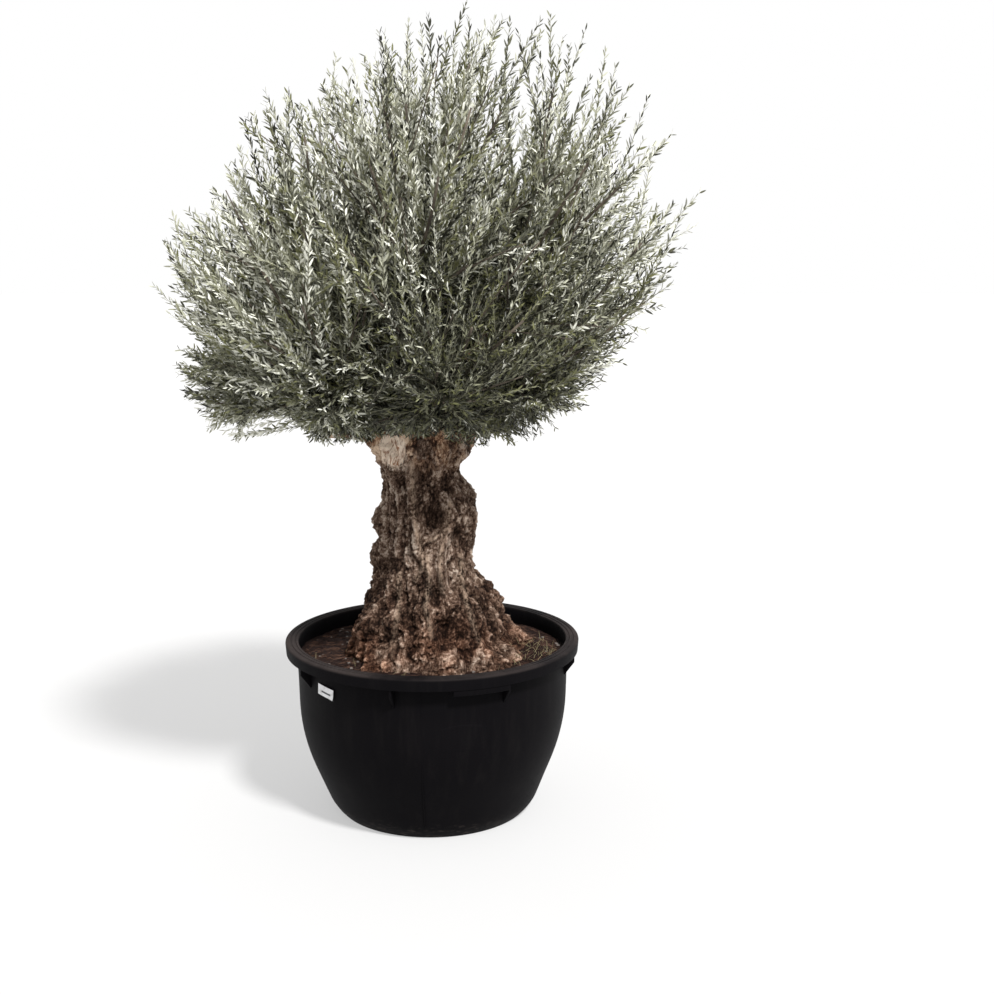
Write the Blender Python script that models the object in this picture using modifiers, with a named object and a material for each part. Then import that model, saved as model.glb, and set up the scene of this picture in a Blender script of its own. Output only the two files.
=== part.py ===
"""An old olive tree: a thick gnarled trunk with a crown of upright shoots, in a round nursery pot.

Metres, +Z up. The origin is the centre of the pot's flat underside, and the front faces -Y.
Pieces: the pot with its fins and handles, the soil, the trunk, and for each mass of foliage one
bough and one fused spray of twigs and leaf blades. Each blade stands for a spray of olive leaves.
"""

import math
import random

import bmesh
import bpy
from mathutils import Matrix, Vector, noise

GAP = 0.0003  # clearance between neighbouring pieces
SHARP_ANGLE = 40.0  # degrees; gentler edges are shaded smooth
MERGE_DISTANCE = 0.0001

# Colour and roughness of each material, as plain tones for the solids.
POT_PLASTIC = ((0.010, 0.010, 0.011), 0.45)
POTTING_SOIL = ((0.055, 0.028, 0.020), 0.95)
OLD_BARK = ((0.130, 0.095, 0.070), 0.90)
OLIVE_LEAVES = ((0.150, 0.170, 0.110), 0.55)

# Pot: a turned shell of black plastic with a thick lip, fins under the lip and two handle bars.
POT_HEIGHT = 0.712
RIM_RADIUS = 0.600
LIP_HEIGHT = 0.048
LIP_INNER_RADIUS = 0.549
LIP_CORNER = (0.004, 0.006)  # how far the lip's top corner is cut in and down
LIP_TAPER = 0.003
WALL_TOP_RADIUS = 0.554
WALL_BEND_RADIUS = 0.544
WALL_BEND_HEIGHT = 0.330
WALL_BEND_REACH = 0.140
SHOULDER_RADIUS = 0.424
SHOULDER_HEIGHT = 0.032
FOOT_RADIUS = 0.392
WALL = 0.007
POT_STEPS = 40
BEND_POINTS = 3
FIN_COUNT = 8
FIN_FIRST_ANGLE = -58.0
FIN_REACH = 0.038
FIN_HEIGHT = 0.085
FIN_OUTER_HEIGHT = 0.028
FIN_THICKNESS = 0.010
FIN_OVERLAP = 0.012  # into the lip
HANDLE_SPAN = 22.0
HANDLE_INSET = 0.006
HANDLE_DEPTH = 0.024
HANDLE_WIDTH = 0.022
HANDLE_OVERLAP = 0.014  # into the lip
HANDLE_STEPS = 6

# Soil: fills the pot to a level surface below the rim.
SOIL_LEVEL = 0.655
SOIL_EDGE_DROP = 0.010
SOIL_FLAT_RADIUS = 0.510

# Trunk: height, then its reach to the left, right, front and back of the pot's axis.
TRUNK_SECTIONS = (
    (0.655, 0.345, 0.430, 0.380, 0.345),
    (0.720, 0.318, 0.350, 0.325, 0.305),
    (0.800, 0.294, 0.295, 0.275, 0.270),
    (0.900, 0.262, 0.240, 0.240, 0.240),
    (1.000, 0.222, 0.170, 0.215, 0.215),
    (1.100, 0.202, 0.166, 0.200, 0.200),
    (1.200, 0.190, 0.190, 0.190, 0.195),
    (1.300, 0.188, 0.172, 0.180, 0.188),
    (1.400, 0.198, 0.118, 0.178, 0.180),
    (1.500, 0.256, 0.172, 0.200, 0.205),
    (1.560, 0.264, 0.188, 0.208, 0.212),
)
HEAD_DOME = 0.150
TRUNK_SIDES = 58
TRUNK_RINGS = 29
DOME_RINGS = 4
# Burls and hollows: angle from +X, height, how far they stand out, and how wide they spread.
TRUNK_LUMPS = (
    (180, 1.206, 0.042, 0.050),
    (184, 1.062, 0.038, 0.052),
    (2, 0.900, 0.022, 0.075),
    (318, 1.235, 0.020, 0.070),
    (236, 1.440, 0.026, 0.055),
    (300, 0.860, 0.030, 0.070),
    (222, 0.790, 0.036, 0.075),
    (75, 1.170, 0.034, 0.065),
    (128, 0.960, 0.036, 0.070),
    (40, 1.470, 0.030, 0.055),
    (100, 1.340, -0.035, 0.060),
    (345, 0.760, -0.030, 0.065),
    (200, 0.900, -0.028, 0.055),
)
# Flutes that run up the trunk: how many round it, their depth, twist per metre and phase.
TRUNK_FLUTES = ((5, 0.035, 1.6, 0.4), (8, 0.030, -1.9, 2.1), (13, 0.018, 1.2, 0.9))
ROOT_LOBES = 9
ROOT_LOBE_DEPTH = 0.055
ROOT_LOBE_HEIGHT = 0.17
ROOT_LOBE_PHASE = 1.0
# Strands between creases: how many to a metre round the trunk and up it, and their depth.
STRANDS = ((12.0, 3.4, 0.034), (24.0, 8.0, 0.014))
STRAND_WARP = (4.0, 0.050)  # how often the strands wander, and how far
STRAND_SEED = 5  # of that wandering
STRAND_SHIFT = 9.0  # apart in the noise, from one size of strand to the next
STRAND_ROUNDNESS = 1.9
STRAND_MIDDLE = 0.45  # the crest's share that lies level with the trunk
# Pale sinews on the front: half width, how far they stand out, and their course as x and height.
SINEWS = (
    (0.012, 0.017, ((-0.068, 1.455), (-0.060, 1.242), (-0.036, 1.131), (-0.026, 1.047), (-0.058, 0.991))),
    (0.011, 0.016, ((0.080, 1.300), (0.073, 1.214), (0.050, 1.131), (0.040, 1.047), (0.052, 0.950))),
    (0.011, 0.012, ((0.073, 1.195), (0.030, 1.165), (-0.025, 1.140))),
    (0.013, 0.013, ((-0.012, 1.090), (0.000, 1.000), (-0.015, 0.900), (0.010, 0.790))),
    (0.012, 0.013, ((0.120, 1.080), (0.128, 0.960), (0.165, 0.850), (0.200, 0.740))),
    (0.013, 0.013, ((-0.120, 1.020), (-0.125, 0.900), (-0.140, 0.780), (-0.150, 0.700))),
)
# Hollows on the front: x, height, half width, half height and depth.
HOLLOWS = (
    (0.008, 1.245, 0.050, 0.056, 0.040),
    (-0.118, 1.377, 0.026, 0.032, 0.028),
    (0.105, 1.150, 0.020, 0.060, 0.020),
    (-0.178, 1.545, 0.022, 0.026, 0.022),
    (0.055, 0.800, 0.026, 0.050, 0.020),
)
FRONT_FORMS_END = 0.05  # the sinews and hollows are on what lies in front of this

# Crown: every limb and mass of foliage radiates from the head of the trunk.
HEAD = Vector((-0.040, 0.0, 1.580))
UP = Vector((0.0, 0.0, 1.0))
# The crown's reach from the head by elevation in degrees, on its right, left, and front and back.
RIGHT_REACH = ((-22, 0.30), (-8, 0.56), (6, 0.64), (18, 0.84), (30, 1.24), (42, 1.47), (54, 1.63), (90, 1.66))
LEFT_REACH = ((-22, 0.34), (-8, 0.86), (6, 0.93), (18, 1.04), (36, 1.27), (54, 1.30), (66, 1.46), (90, 1.66))
DEPTH_REACH = ((-22, 0.26), (-8, 0.36), (6, 0.56), (18, 0.82), (30, 1.06), (45, 1.28), (60, 1.46), (90, 1.66))
# Rings of masses: their names by place, elevation and first angle from +X.
TOP_RING = (("top",), 87.0, 20.0)
UPPER_RING = (("right", "back", "left", "front"), 54.0, 0.0)
LOWER_RING = (
    ("left", "left_front", "front", "right_front", "right_back", "back", "left_back"),
    21.0,
    180.0,
)
LOW_CLUMP = (("low_left",), -4.0, 187.0)
CELL_MARGIN = 0.006
REACH_ALLOWANCE = 1.02

# Boughs: one tapering limb for each mass.
BOUGH_LENGTH = {"top": 0.46, "upper": 0.46, "lower": 0.39, "clump": 0.40}
BOUGH_BASE_RADIUS = 0.040
BOUGH_TIP_RADIUS = 0.019
BOUGH_POINTS = 5
BOUGH_BOW = 0.018
BOUGH_BENT_SHARE = 0.75
BOUGH_START = 0.060
BOUGH_CLEARANCE = 0.080
BOUGH_SEED = 40

# Foliage: a stem, branches that fan out inside the mass's own space, and blades along each branch.
STEM_RADIUS = 0.015
STEM_SHARE = 0.62  # of the crown's reach along the mass's axis
STEM_LEAST = 0.12
BRANCHES = 8
BRANCH_RADIUS = 0.0085
TWIG_TIP_RADIUS = 0.0045
FAN_ANGLE = 27.0
FAN_TRIES = 12
FAN_DRAW_IN = 0.88
BRANCH_ROOTS = (0.08, 0.95)  # places on the stem of the widest and of the straightest branch
TIP_UNEVENNESS = 0.10
TIP_STEPS = 3  # branches end at the full reach, halfway and drawn in, in turn
SIDE_BLADES = 3
SIDE_BLADE_PLACES = (0.20, 0.88)  # on the branch
BLADE_LENGTH = 0.270
BLADE_WIDTH = 0.078
BLADE_THICKNESS = 0.009
BLADE_WIDEST = 0.42
BLADE_SIZES = (0.75, 1.10)
BLADE_FORWARD = 0.80
BLADE_SPREAD = (0.42, 0.72)
BLADE_LIFT = 0.22
TIP_BLADE_SHARE = 0.85  # of the tip blade that shows beyond its branch
TIP_BLADE_SINK = 0.020
BRANCH_AND_BLADE_LEAST = 1.25  # in blade lengths
ROOT_SINK = 0.004
GOLDEN_ANGLE = math.radians(137.508)
FOLIAGE_SEED = 70


# ---- Scene, collections and materials ----


def clear_scene():
    for obj in list(bpy.data.objects):
        bpy.data.objects.remove(obj, do_unlink=True)


def new_collection(name, hidden=False):
    collection = bpy.data.collections.new(name)
    bpy.context.scene.collection.children.link(collection)
    collection.hide_render = hidden
    return collection


def new_material(name, color, roughness):
    material = bpy.data.materials.new(name)
    material.use_nodes = True
    shader = material.node_tree.nodes["Principled BSDF"]
    shader.inputs["Base Color"].default_value = (*color, 1.0)
    shader.inputs["Roughness"].default_value = roughness
    material.diffuse_color = (*color, 1.0)
    return material


def mesh_object(name, bm, collection, material=None):
    """Make an object of this bmesh, with its faces turned outwards."""
    bmesh.ops.recalc_face_normals(bm, faces=bm.faces)
    mesh = bpy.data.meshes.new(name)
    bm.to_mesh(mesh)
    bm.free()
    obj = bpy.data.objects.new(name, mesh)
    collection.objects.link(obj)
    if material:
        mesh.materials.append(material)
    return obj


def as_cutter(obj):
    obj.hide_render = True
    obj.display_type = "WIRE"


def smooth(obj, angle):
    obj.data.shade_smooth()
    obj.data.set_sharp_from_angle(angle=math.radians(angle))
    return obj


# ---- Pot and soil ----


def wall_profile(inset):
    """Points of the pot's wall from under the lip down to the foot, set in by this much."""
    top = Vector((WALL_TOP_RADIUS, POT_HEIGHT - LIP_HEIGHT))
    shoulder = Vector((SHOULDER_RADIUS, SHOULDER_HEIGHT))
    bend = Vector((WALL_BEND_RADIUS, WALL_BEND_HEIGHT))
    bend_start = bend + (top - bend).normalized() * WALL_BEND_REACH
    bend_end = bend + (shoulder - bend).normalized() * WALL_BEND_REACH
    points = [top]
    for step in range(BEND_POINTS + 1):
        t = step / BEND_POINTS
        points.append(bend_start * (1 - t) ** 2 + bend * 2 * t * (1 - t) + bend_end * t**2)
    points.append(shoulder)
    points.append(Vector((FOOT_RADIUS, 0.0)))
    return [(point.x - inset, max(point.y, inset)) for point in points]


def turned_object(name, profile, collection, material):
    """Turn a profile of (radius, height) points about the Z axis; both its ends lie on the axis."""
    mesh = bpy.data.meshes.new(name)
    edges = [(i, i + 1) for i in range(len(profile) - 1)]
    mesh.from_pydata([(radius, 0.0, height) for radius, height in profile], edges, [])
    mesh.materials.append(material)
    obj = bpy.data.objects.new(name, mesh)
    collection.objects.link(obj)
    screw = obj.modifiers.new("Turn", "SCREW")
    screw.steps = POT_STEPS
    screw.render_steps = POT_STEPS
    screw.use_merge_vertices = True
    screw.merge_threshold = MERGE_DISTANCE
    return obj


def pot_profile():
    inner = wall_profile(WALL)
    inner_wall = [(LIP_INNER_RADIUS - WALL, POT_HEIGHT)] + inner
    corner_in, corner_down = LIP_CORNER
    lip = [
        (RIM_RADIUS - corner_in, POT_HEIGHT),
        (RIM_RADIUS, POT_HEIGHT - corner_down),
        (RIM_RADIUS - LIP_TAPER, POT_HEIGHT - LIP_HEIGHT),
    ]
    return [(0.0, WALL)] + inner_wall[::-1] + lip + wall_profile(0.0) + [(0.0, 0.0)]


def make_fin(angle, collection):
    """A three-cornered fin from the wall out to the lip, set on its edge."""
    lip_bottom = POT_HEIGHT - LIP_HEIGHT
    corners = (
        (WALL_TOP_RADIUS - WALL / 2, lip_bottom + FIN_OVERLAP),
        (WALL_TOP_RADIUS + FIN_REACH, lip_bottom + FIN_OVERLAP),
        (WALL_TOP_RADIUS + FIN_REACH, lip_bottom - FIN_OUTER_HEIGHT),
        (WALL_TOP_RADIUS - WALL / 2, lip_bottom - FIN_HEIGHT),
    )
    bm = bmesh.new()
    verts = [bm.verts.new((radius, -FIN_THICKNESS / 2, height)) for radius, height in corners]
    face = bm.faces.new(verts)
    side = bmesh.ops.extrude_face_region(bm, geom=[face])["geom"]
    moved = [item for item in side if isinstance(item, bmesh.types.BMVert)]
    bmesh.ops.translate(bm, verts=moved, vec=(0.0, FIN_THICKNESS, 0.0))
    bmesh.ops.rotate(bm, verts=bm.verts, matrix=Matrix.Rotation(angle, 3, "Z"))
    as_cutter(mesh_object("fin", bm, collection))


def make_handle(middle, collection):
    """A carrying bar: a stretch of square section that runs round under the lip."""
    outer = RIM_RADIUS - HANDLE_INSET
    top = POT_HEIGHT - LIP_HEIGHT + HANDLE_OVERLAP
    bottom = POT_HEIGHT - LIP_HEIGHT - HANDLE_DEPTH
    bm = bmesh.new()
    start = Matrix.Rotation(middle - math.radians(HANDLE_SPAN) / 2, 3, "Z")
    section = ((outer - HANDLE_WIDTH, bottom), (outer, bottom), (outer, top), (outer - HANDLE_WIDTH, top))
    verts = [bm.verts.new(start @ Vector((radius, 0.0, height))) for radius, height in section]
    face = bm.faces.new(verts)
    bmesh.ops.spin(
        bm,
        geom=[face, *face.edges, *face.verts],
        cent=(0.0, 0.0, 0.0),
        axis=(0.0, 0.0, 1.0),
        angle=math.radians(HANDLE_SPAN),
        steps=HANDLE_STEPS,
    )
    as_cutter(mesh_object("handle", bm, collection))


def make_pot(parts, fittings, material):
    pot = turned_object("pot", pot_profile(), parts, material)
    for index in range(FIN_COUNT):
        make_fin(math.radians(FIN_FIRST_ANGLE + index * 360 / FIN_COUNT), fittings)
    for turn in (0.0, math.pi):
        # Each bar ends at a fin, on the side towards the middle of the front or of the back.
        make_handle(math.radians(FIN_FIRST_ANGLE - HANDLE_SPAN / 2) + turn, fittings)
    union = pot.modifiers.new("Fins and handles", "BOOLEAN")
    union.operation = "UNION"
    union.operand_type = "COLLECTION"
    union.collection = fittings
    return pot


def make_soil(parts, material):
    """A solid that fills the pot, clear of its wall and floor all round."""
    inset = WALL + 2 * GAP
    edge = SOIL_LEVEL - SOIL_EDGE_DROP
    wall = wall_profile(inset)
    (high_radius, high), (low_radius, low) = wall[:2]
    edge_radius = low_radius + (high_radius - low_radius) * (edge - low) / (high - low)
    top = [(0.0, SOIL_LEVEL), (SOIL_FLAT_RADIUS, SOIL_LEVEL), (edge_radius, edge)]
    return turned_object("soil", top + wall[1:] + [(0.0, inset)], parts, material)


# ---- Trunk ----


def section_reach(height, column):
    """The trunk's reach on one side at this height, on a smooth curve through the sections."""
    rows = TRUNK_SECTIONS
    last = len(rows) - 1
    index = next((i for i in range(last) if height < rows[i + 1][0]), last - 1)
    before, low, high, after = (rows[min(max(index + i, 0), last)] for i in (-1, 0, 1, 2))
    span = high[0] - low[0]
    t = max(0.0, min(1.0, (height - low[0]) / span))
    rise_in = (high[column] - before[column]) / max(high[0] - before[0], span) * span
    rise_out = (after[column] - low[column]) / max(after[0] - low[0], span) * span
    return (
        low[column] * (2 * t**3 - 3 * t**2 + 1)
        + rise_in * (t**3 - 2 * t**2 + t)
        + high[column] * (3 * t**2 - 2 * t**3)
        + rise_out * (t**3 - t**2)
    )


def course_distance(x, height, course):
    """How far a point of the trunk's front is from a sinew's course."""
    nearest = 1.0
    for (x0, z0), (x1, z1) in zip(course, course[1:]):
        dx, dz = x1 - x0, z1 - z0
        t = max(0.0, min(1.0, ((x - x0) * dx + (height - z0) * dz) / (dx * dx + dz * dz)))
        nearest = min(nearest, math.hypot(x - x0 - dx * t, height - z0 - dz * t))
    return nearest


def strand_crests(place):
    """For each size of strand, how near a place is to its crest, from 0 in a crease."""
    scale, reach = STRAND_WARP
    bent = place + noise.noise_vector(place * scale) * reach
    found = []
    for number, (round_it, up_it, _) in enumerate(STRANDS):
        spot = Vector((bent.x * round_it + STRAND_SHIFT * number, bent.y * round_it, bent.z * up_it))
        found.append(min(1.0, abs(noise.noise(spot)) * STRAND_ROUNDNESS))
    return found


def front_forms(place):
    """How far the sinews stand out and the hollows go in at a place on the trunk."""
    out = 0.0
    if place.y < FRONT_FORMS_END:
        for width, stand_out, course in SINEWS:
            out += stand_out * math.exp(-((course_distance(place.x, place.z, course) / width) ** 2))
        for x, middle, half_width, half_height, depth in HOLLOWS:
            away = math.hypot((place.x - x) / half_width, (place.z - middle) / half_height)
            out -= depth * math.exp(-(away**4))
    return out


def trunk_radius(angle, height):
    """The trunk's radius about the pot's axis: an uneven oval with flutes, lobes, lumps and strands."""
    cosine, sine = math.cos(angle), math.sin(angle)
    across = section_reach(height, 2 if cosine > 0 else 1)
    along = section_reach(height, 4 if sine > 0 else 3)
    radius = 1 / math.hypot(cosine / across, sine / along)
    relief = 0.0
    for count, depth, twist, phase in TRUNK_FLUTES:
        relief += depth * math.cos(count * (angle + twist * height) + phase)
    rise = max(0.0, 1 - (height - SOIL_LEVEL) / ROOT_LOBE_HEIGHT)
    relief += ROOT_LOBE_DEPTH * rise * math.cos(ROOT_LOBES * angle + ROOT_LOBE_PHASE)
    radius *= 1 + relief
    for lump_angle, lump_height, stand_out, spread in TRUNK_LUMPS:
        turn = math.remainder(angle - math.radians(lump_angle), math.tau) * radius
        distance = math.hypot(turn, height - lump_height) / spread
        radius += stand_out * math.exp(-(distance**3))
    place = Vector((radius * cosine, radius * sine, height))
    for crest, (_, _, depth) in zip(strand_crests(place), STRANDS):
        radius += depth * (crest - STRAND_MIDDLE)
    return radius + front_forms(place)


def make_trunk(name, parts, material, grow=0.0):
    """Loft the trunk's rings from the flat cut at the soil to the domed head, swollen by grow."""
    bottom = SOIL_LEVEL + GAP
    shoulder = TRUNK_SECTIONS[-1][0]
    bm = bmesh.new()
    rings = []
    for index in range(TRUNK_RINGS + DOME_RINGS):
        if index < TRUNK_RINGS:
            height = bottom + (shoulder - bottom) * index / (TRUNK_RINGS - 1)
            share = 1.0
            rise = height
        else:
            turn = (index - TRUNK_RINGS + 1) / (DOME_RINGS + 1) * math.pi / 2
            height = shoulder
            share = math.cos(turn)
            rise = shoulder + HEAD_DOME * math.sin(turn)
        ring = []
        for side in range(TRUNK_SIDES):
            angle = side / TRUNK_SIDES * math.tau
            reach = trunk_radius(angle, height) * share
            middle = HEAD.x * (1 - share)
            ring.append(bm.verts.new((middle + reach * math.cos(angle), reach * math.sin(angle), rise)))
        rings.append(ring)
    top = bm.verts.new((HEAD.x, 0.0, shoulder + HEAD_DOME))
    bm.faces.new(rings[0][::-1])
    for low, high in zip(rings, rings[1:]):
        for side in range(TRUNK_SIDES):
            after = (side + 1) % TRUNK_SIDES
            bm.faces.new((low[side], low[after], high[after], high[side]))
    for side in range(TRUNK_SIDES):
        bm.faces.new((rings[-1][side], rings[-1][(side + 1) % TRUNK_SIDES], top))
    bmesh.ops.triangulate(bm, faces=bm.faces, quad_method="FIXED")
    bm.normal_update()
    for vert in bm.verts:
        vert.co += vert.normal * grow
    return smooth(mesh_object(name, bm, parts, material), SHARP_ANGLE)


# ---- Crown: directions, spaces and reach ----


def direction(azimuth, elevation):
    azimuth, elevation = math.radians(azimuth), math.radians(elevation)
    flat = math.cos(elevation)
    return Vector((flat * math.cos(azimuth), flat * math.sin(azimuth), math.sin(elevation)))


def masses():
    """Name, kind and axis of every mass of foliage."""
    found = []
    rings = ((TOP_RING, "top"), (UPPER_RING, "upper"), (LOWER_RING, "lower"), (LOW_CLUMP, "clump"))
    for (names, elevation, first), kind in rings:
        for index, name in enumerate(names):
            label = name if kind in ("top", "clump") else f"{kind}_{name}"
            azimuth = first + index * 360 / len(names)
            found.append((label, kind, direction(azimuth, elevation)))
    return found


def knots_at(knots, value):
    if value <= knots[0][0]:
        return knots[0][1]
    for (low, first), (high, second) in zip(knots, knots[1:]):
        if value <= high:
            return first + (second - first) * (value - low) / (high - low)
    return knots[-1][1]


def crown_reach(way):
    """How far the crown reaches from the head in this direction."""
    elevation = math.degrees(math.asin(max(-1.0, min(1.0, way.z))))
    flat = math.hypot(way.x, way.y) or 1.0
    sideways = (way.x / flat) ** 2
    side = RIGHT_REACH if way.x > 0 else LEFT_REACH
    return knots_at(side, elevation) * sideways + knots_at(DEPTH_REACH, elevation) * (1 - sideways)


def inside_space(point, axis, others, bough_length):
    """True where a point is nearer this mass's axis than any other, in the crown and clear of the bough."""
    spoke = point - HEAD
    for other in others:
        if spoke.dot((axis - other).normalized()) < CELL_MARGIN:
            return False
    beyond = spoke.dot(axis) - bough_length
    if beyond < 0 and (spoke - axis * spoke.dot(axis)).length < BOUGH_CLEARANCE:
        return False
    return spoke.length < crown_reach(spoke.normalized()) * REACH_ALLOWANCE


# ---- Boughs ----


def bough_points(kind, axis, seed):
    """Points and radii of a bough: from inside the trunk's head, slightly bowed, out along its axis."""
    rng = random.Random(seed)
    side = axis.orthogonal().normalized()
    side.rotate(Matrix.Rotation(rng.uniform(0, math.tau), 3, axis))
    length = BOUGH_LENGTH[kind]
    points = []
    for index in range(BOUGH_POINTS):
        t = index / (BOUGH_POINTS - 1)
        along = BOUGH_START + (length - BOUGH_START) * t
        bow = BOUGH_BOW * math.sin(math.pi * min(1.0, t / BOUGH_BENT_SHARE))
        radius = BOUGH_BASE_RADIUS + (BOUGH_TIP_RADIUS - BOUGH_BASE_RADIUS) * t
        points.append((HEAD + axis * along + side * bow, radius))
    return points


def make_bough(name, kind, axis, seed, parts, material, clearance):
    """A tapering limb from a bevelled curve, cut clear of the trunk."""
    points = bough_points(kind, axis, seed)
    curve = bpy.data.curves.new(name, "CURVE")
    curve.dimensions = "3D"
    curve.bevel_depth = 1.0
    curve.bevel_resolution = 1
    curve.use_fill_caps = True
    spline = curve.splines.new("POLY")
    spline.points.add(len(points) - 1)
    for point, (place, radius) in zip(spline.points, points):
        point.co = (*place, 1.0)
        point.radius = radius
    guide = bpy.data.objects.new(name + "_curve", curve)
    parts.objects.link(guide)
    graph = bpy.context.evaluated_depsgraph_get()
    mesh = bpy.data.meshes.new_from_object(guide.evaluated_get(graph))
    bpy.data.objects.remove(guide, do_unlink=True)
    bm = bmesh.new()
    bm.from_mesh(mesh)
    bmesh.ops.remove_doubles(bm, verts=bm.verts, dist=MERGE_DISTANCE)
    bough = smooth(mesh_object(name, bm, parts, material), SHARP_ANGLE)
    cut = bough.modifiers.new("Clear of trunk", "BOOLEAN")
    cut.operation = "DIFFERENCE"
    cut.object = clearance
    return bough


# ---- Foliage ----


def along_matrix(start, way, roll=0.0):
    """Places a shape that stands on +Z so that it starts here and points this way."""
    turn = way.to_track_quat("Z", "Y").to_matrix().to_4x4()
    return Matrix.Translation(start) @ turn @ Matrix.Rotation(roll, 4, "Z")


def twig_mesh(start, end, start_radius, end_radius):
    """A three-sided tapering twig."""
    way = end - start
    bm = bmesh.new()
    middle = Matrix.Translation((0.0, 0.0, way.length / 2))
    bmesh.ops.create_cone(
        bm,
        cap_ends=True,
        segments=3,
        radius1=start_radius,
        radius2=end_radius,
        depth=way.length,
        matrix=along_matrix(start, way) @ middle,
    )
    return bm


def blade_mesh(root, way, roll, length):
    """A leaf blade of eight faces: flat, pointed at both ends and widest before its middle."""
    bm = bmesh.new()
    bmesh.ops.create_uvsphere(bm, u_segments=4, v_segments=2, radius=1.0)
    for vert in bm.verts:
        vert.co.x *= BLADE_WIDTH / 2 * length / BLADE_LENGTH
        vert.co.y *= BLADE_THICKNESS / 2
        vert.co.z = {-1: 0.0, 0: BLADE_WIDEST, 1: 1.0}[round(vert.co.z)] * length
    bmesh.ops.transform(bm, verts=bm.verts, matrix=along_matrix(root, way, roll))
    return bm


def fan_direction(axis, index, phase, others, bough_length):
    """The way of one branch: spread evenly round the axis, drawn in until it is in the mass's own space."""
    side = axis.orthogonal().normalized()
    side.rotate(Matrix.Rotation(phase + index * GOLDEN_ANGLE, 3, axis))
    spread = math.radians(FAN_ANGLE) * math.sqrt((index + 0.5) / BRANCHES)
    for _ in range(FAN_TRIES):
        way = (axis * math.cos(spread) + side * math.sin(spread)).normalized()
        tip = HEAD + way * crown_reach(way)
        room = crown_reach(way) - bough_length
        if room > BLADE_LENGTH and inside_space(tip, axis, others, bough_length):
            return way, spread
        spread *= FAN_DRAW_IN
    return axis.copy(), 0.0


def foliage_pieces(kind, axis, others, seed):
    """The meshes of one mass: its stem, its branches, and the blades that its own space leaves room for."""
    rng = random.Random(seed)
    bough_length = BOUGH_LENGTH[kind]
    stem_start = HEAD + axis * (bough_length + GAP)
    stem_length = max(crown_reach(axis) * STEM_SHARE - bough_length, STEM_LEAST)
    stem_end = stem_start + axis * stem_length
    pieces = [twig_mesh(stem_start, stem_end, STEM_RADIUS, BRANCH_RADIUS)]
    phase = rng.uniform(0, math.tau)
    low_root, high_root = BRANCH_ROOTS
    first_place, last_place = SIDE_BLADE_PLACES
    for index in range(BRANCHES):
        way, spread = fan_direction(axis, index, phase, others, bough_length)
        straightness = 1 - spread / math.radians(FAN_ANGLE)
        root = stem_start.lerp(stem_end, low_root + (high_root - low_root) * straightness)
        tip = HEAD + way * crown_reach(way) * (1.0 - TIP_UNEVENNESS * (index % TIP_STEPS) / (TIP_STEPS - 1))
        heading = (tip - root).normalized()
        branch_length = max((tip - root).length, BLADE_LENGTH * BRANCH_AND_BLADE_LEAST)
        branch_length -= BLADE_LENGTH * TIP_BLADE_SHARE
        branch_end = root + heading * branch_length
        pieces.append(twig_mesh(root, branch_end, BRANCH_RADIUS, TWIG_TIP_RADIUS))
        blades = [(branch_end - heading * TIP_BLADE_SINK, heading, 1.0)]
        for step in range(SIDE_BLADES):
            place = first_place + (last_place - first_place) * step / (SIDE_BLADES - 1)
            side = heading.orthogonal().normalized()
            side.rotate(Matrix.Rotation(step * GOLDEN_ANGLE + index, 3, heading))
            lean = heading * BLADE_FORWARD + side * rng.uniform(*BLADE_SPREAD) + UP * BLADE_LIFT
            lean.normalize()
            blades.append((root.lerp(branch_end, place) - lean * ROOT_SINK, lean, rng.uniform(*BLADE_SIZES)))
        for place, lean, size in blades:
            blade = blade_mesh(place, lean, rng.uniform(0, math.tau), BLADE_LENGTH * size)
            if all(inside_space(vert.co, axis, others, bough_length) for vert in blade.verts):
                pieces.append(blade)
            else:
                blade.free()
    return pieces


def make_foliage(name, kind, axis, others, seed, parts, material):
    """Join a mass's stem, branches and blades into one closed solid."""
    pieces = foliage_pieces(kind, axis, others, seed)
    loose = new_collection(name + "_pieces", hidden=True)
    foliage = mesh_object(name, pieces[0], parts, material)
    for index, piece in enumerate(pieces[1:]):
        mesh_object(f"{name}_piece_{index}", piece, loose)
    union = foliage.modifiers.new("Join", "BOOLEAN")
    union.operation = "UNION"
    union.solver = "MANIFOLD"
    union.operand_type = "COLLECTION"
    union.collection = loose
    graph = bpy.context.evaluated_depsgraph_get()
    joined = bpy.data.meshes.new_from_object(foliage.evaluated_get(graph))
    foliage.modifiers.clear()
    foliage.data = joined
    for obj in list(loose.objects):
        bpy.data.objects.remove(obj, do_unlink=True)
    bpy.data.collections.remove(loose)
    return foliage


def main():
    noise.seed_set(STRAND_SEED)
    clear_scene()
    parts = new_collection("olive_bonsai")
    guides = new_collection("cutters", hidden=True)
    fittings = new_collection("pot_fittings", hidden=True)
    pot_plastic = new_material("pot_plastic", *POT_PLASTIC)
    potting_soil = new_material("potting_soil", *POTTING_SOIL)
    bark = new_material("bark", *OLD_BARK)
    leaves = new_material("olive_leaves", *OLIVE_LEAVES)
    make_pot(parts, fittings, pot_plastic)
    make_soil(parts, potting_soil)
    make_trunk("trunk", parts, bark)
    clearance = make_trunk("trunk_clearance", guides, None, grow=2 * GAP)
    as_cutter(clearance)
    crown = masses()
    for index, (label, kind, axis) in enumerate(crown):
        others = [other for name, _, other in crown if name != label]
        make_bough("bough_" + label, kind, axis, BOUGH_SEED + index, parts, bark, clearance)
        make_foliage("foliage_" + label, kind, axis, others, FOLIAGE_SEED + index, parts, leaves)


main()
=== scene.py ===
import math
import random

import bmesh
import bpy
import numpy as np
from mathutils import Matrix, Vector, noise


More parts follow.
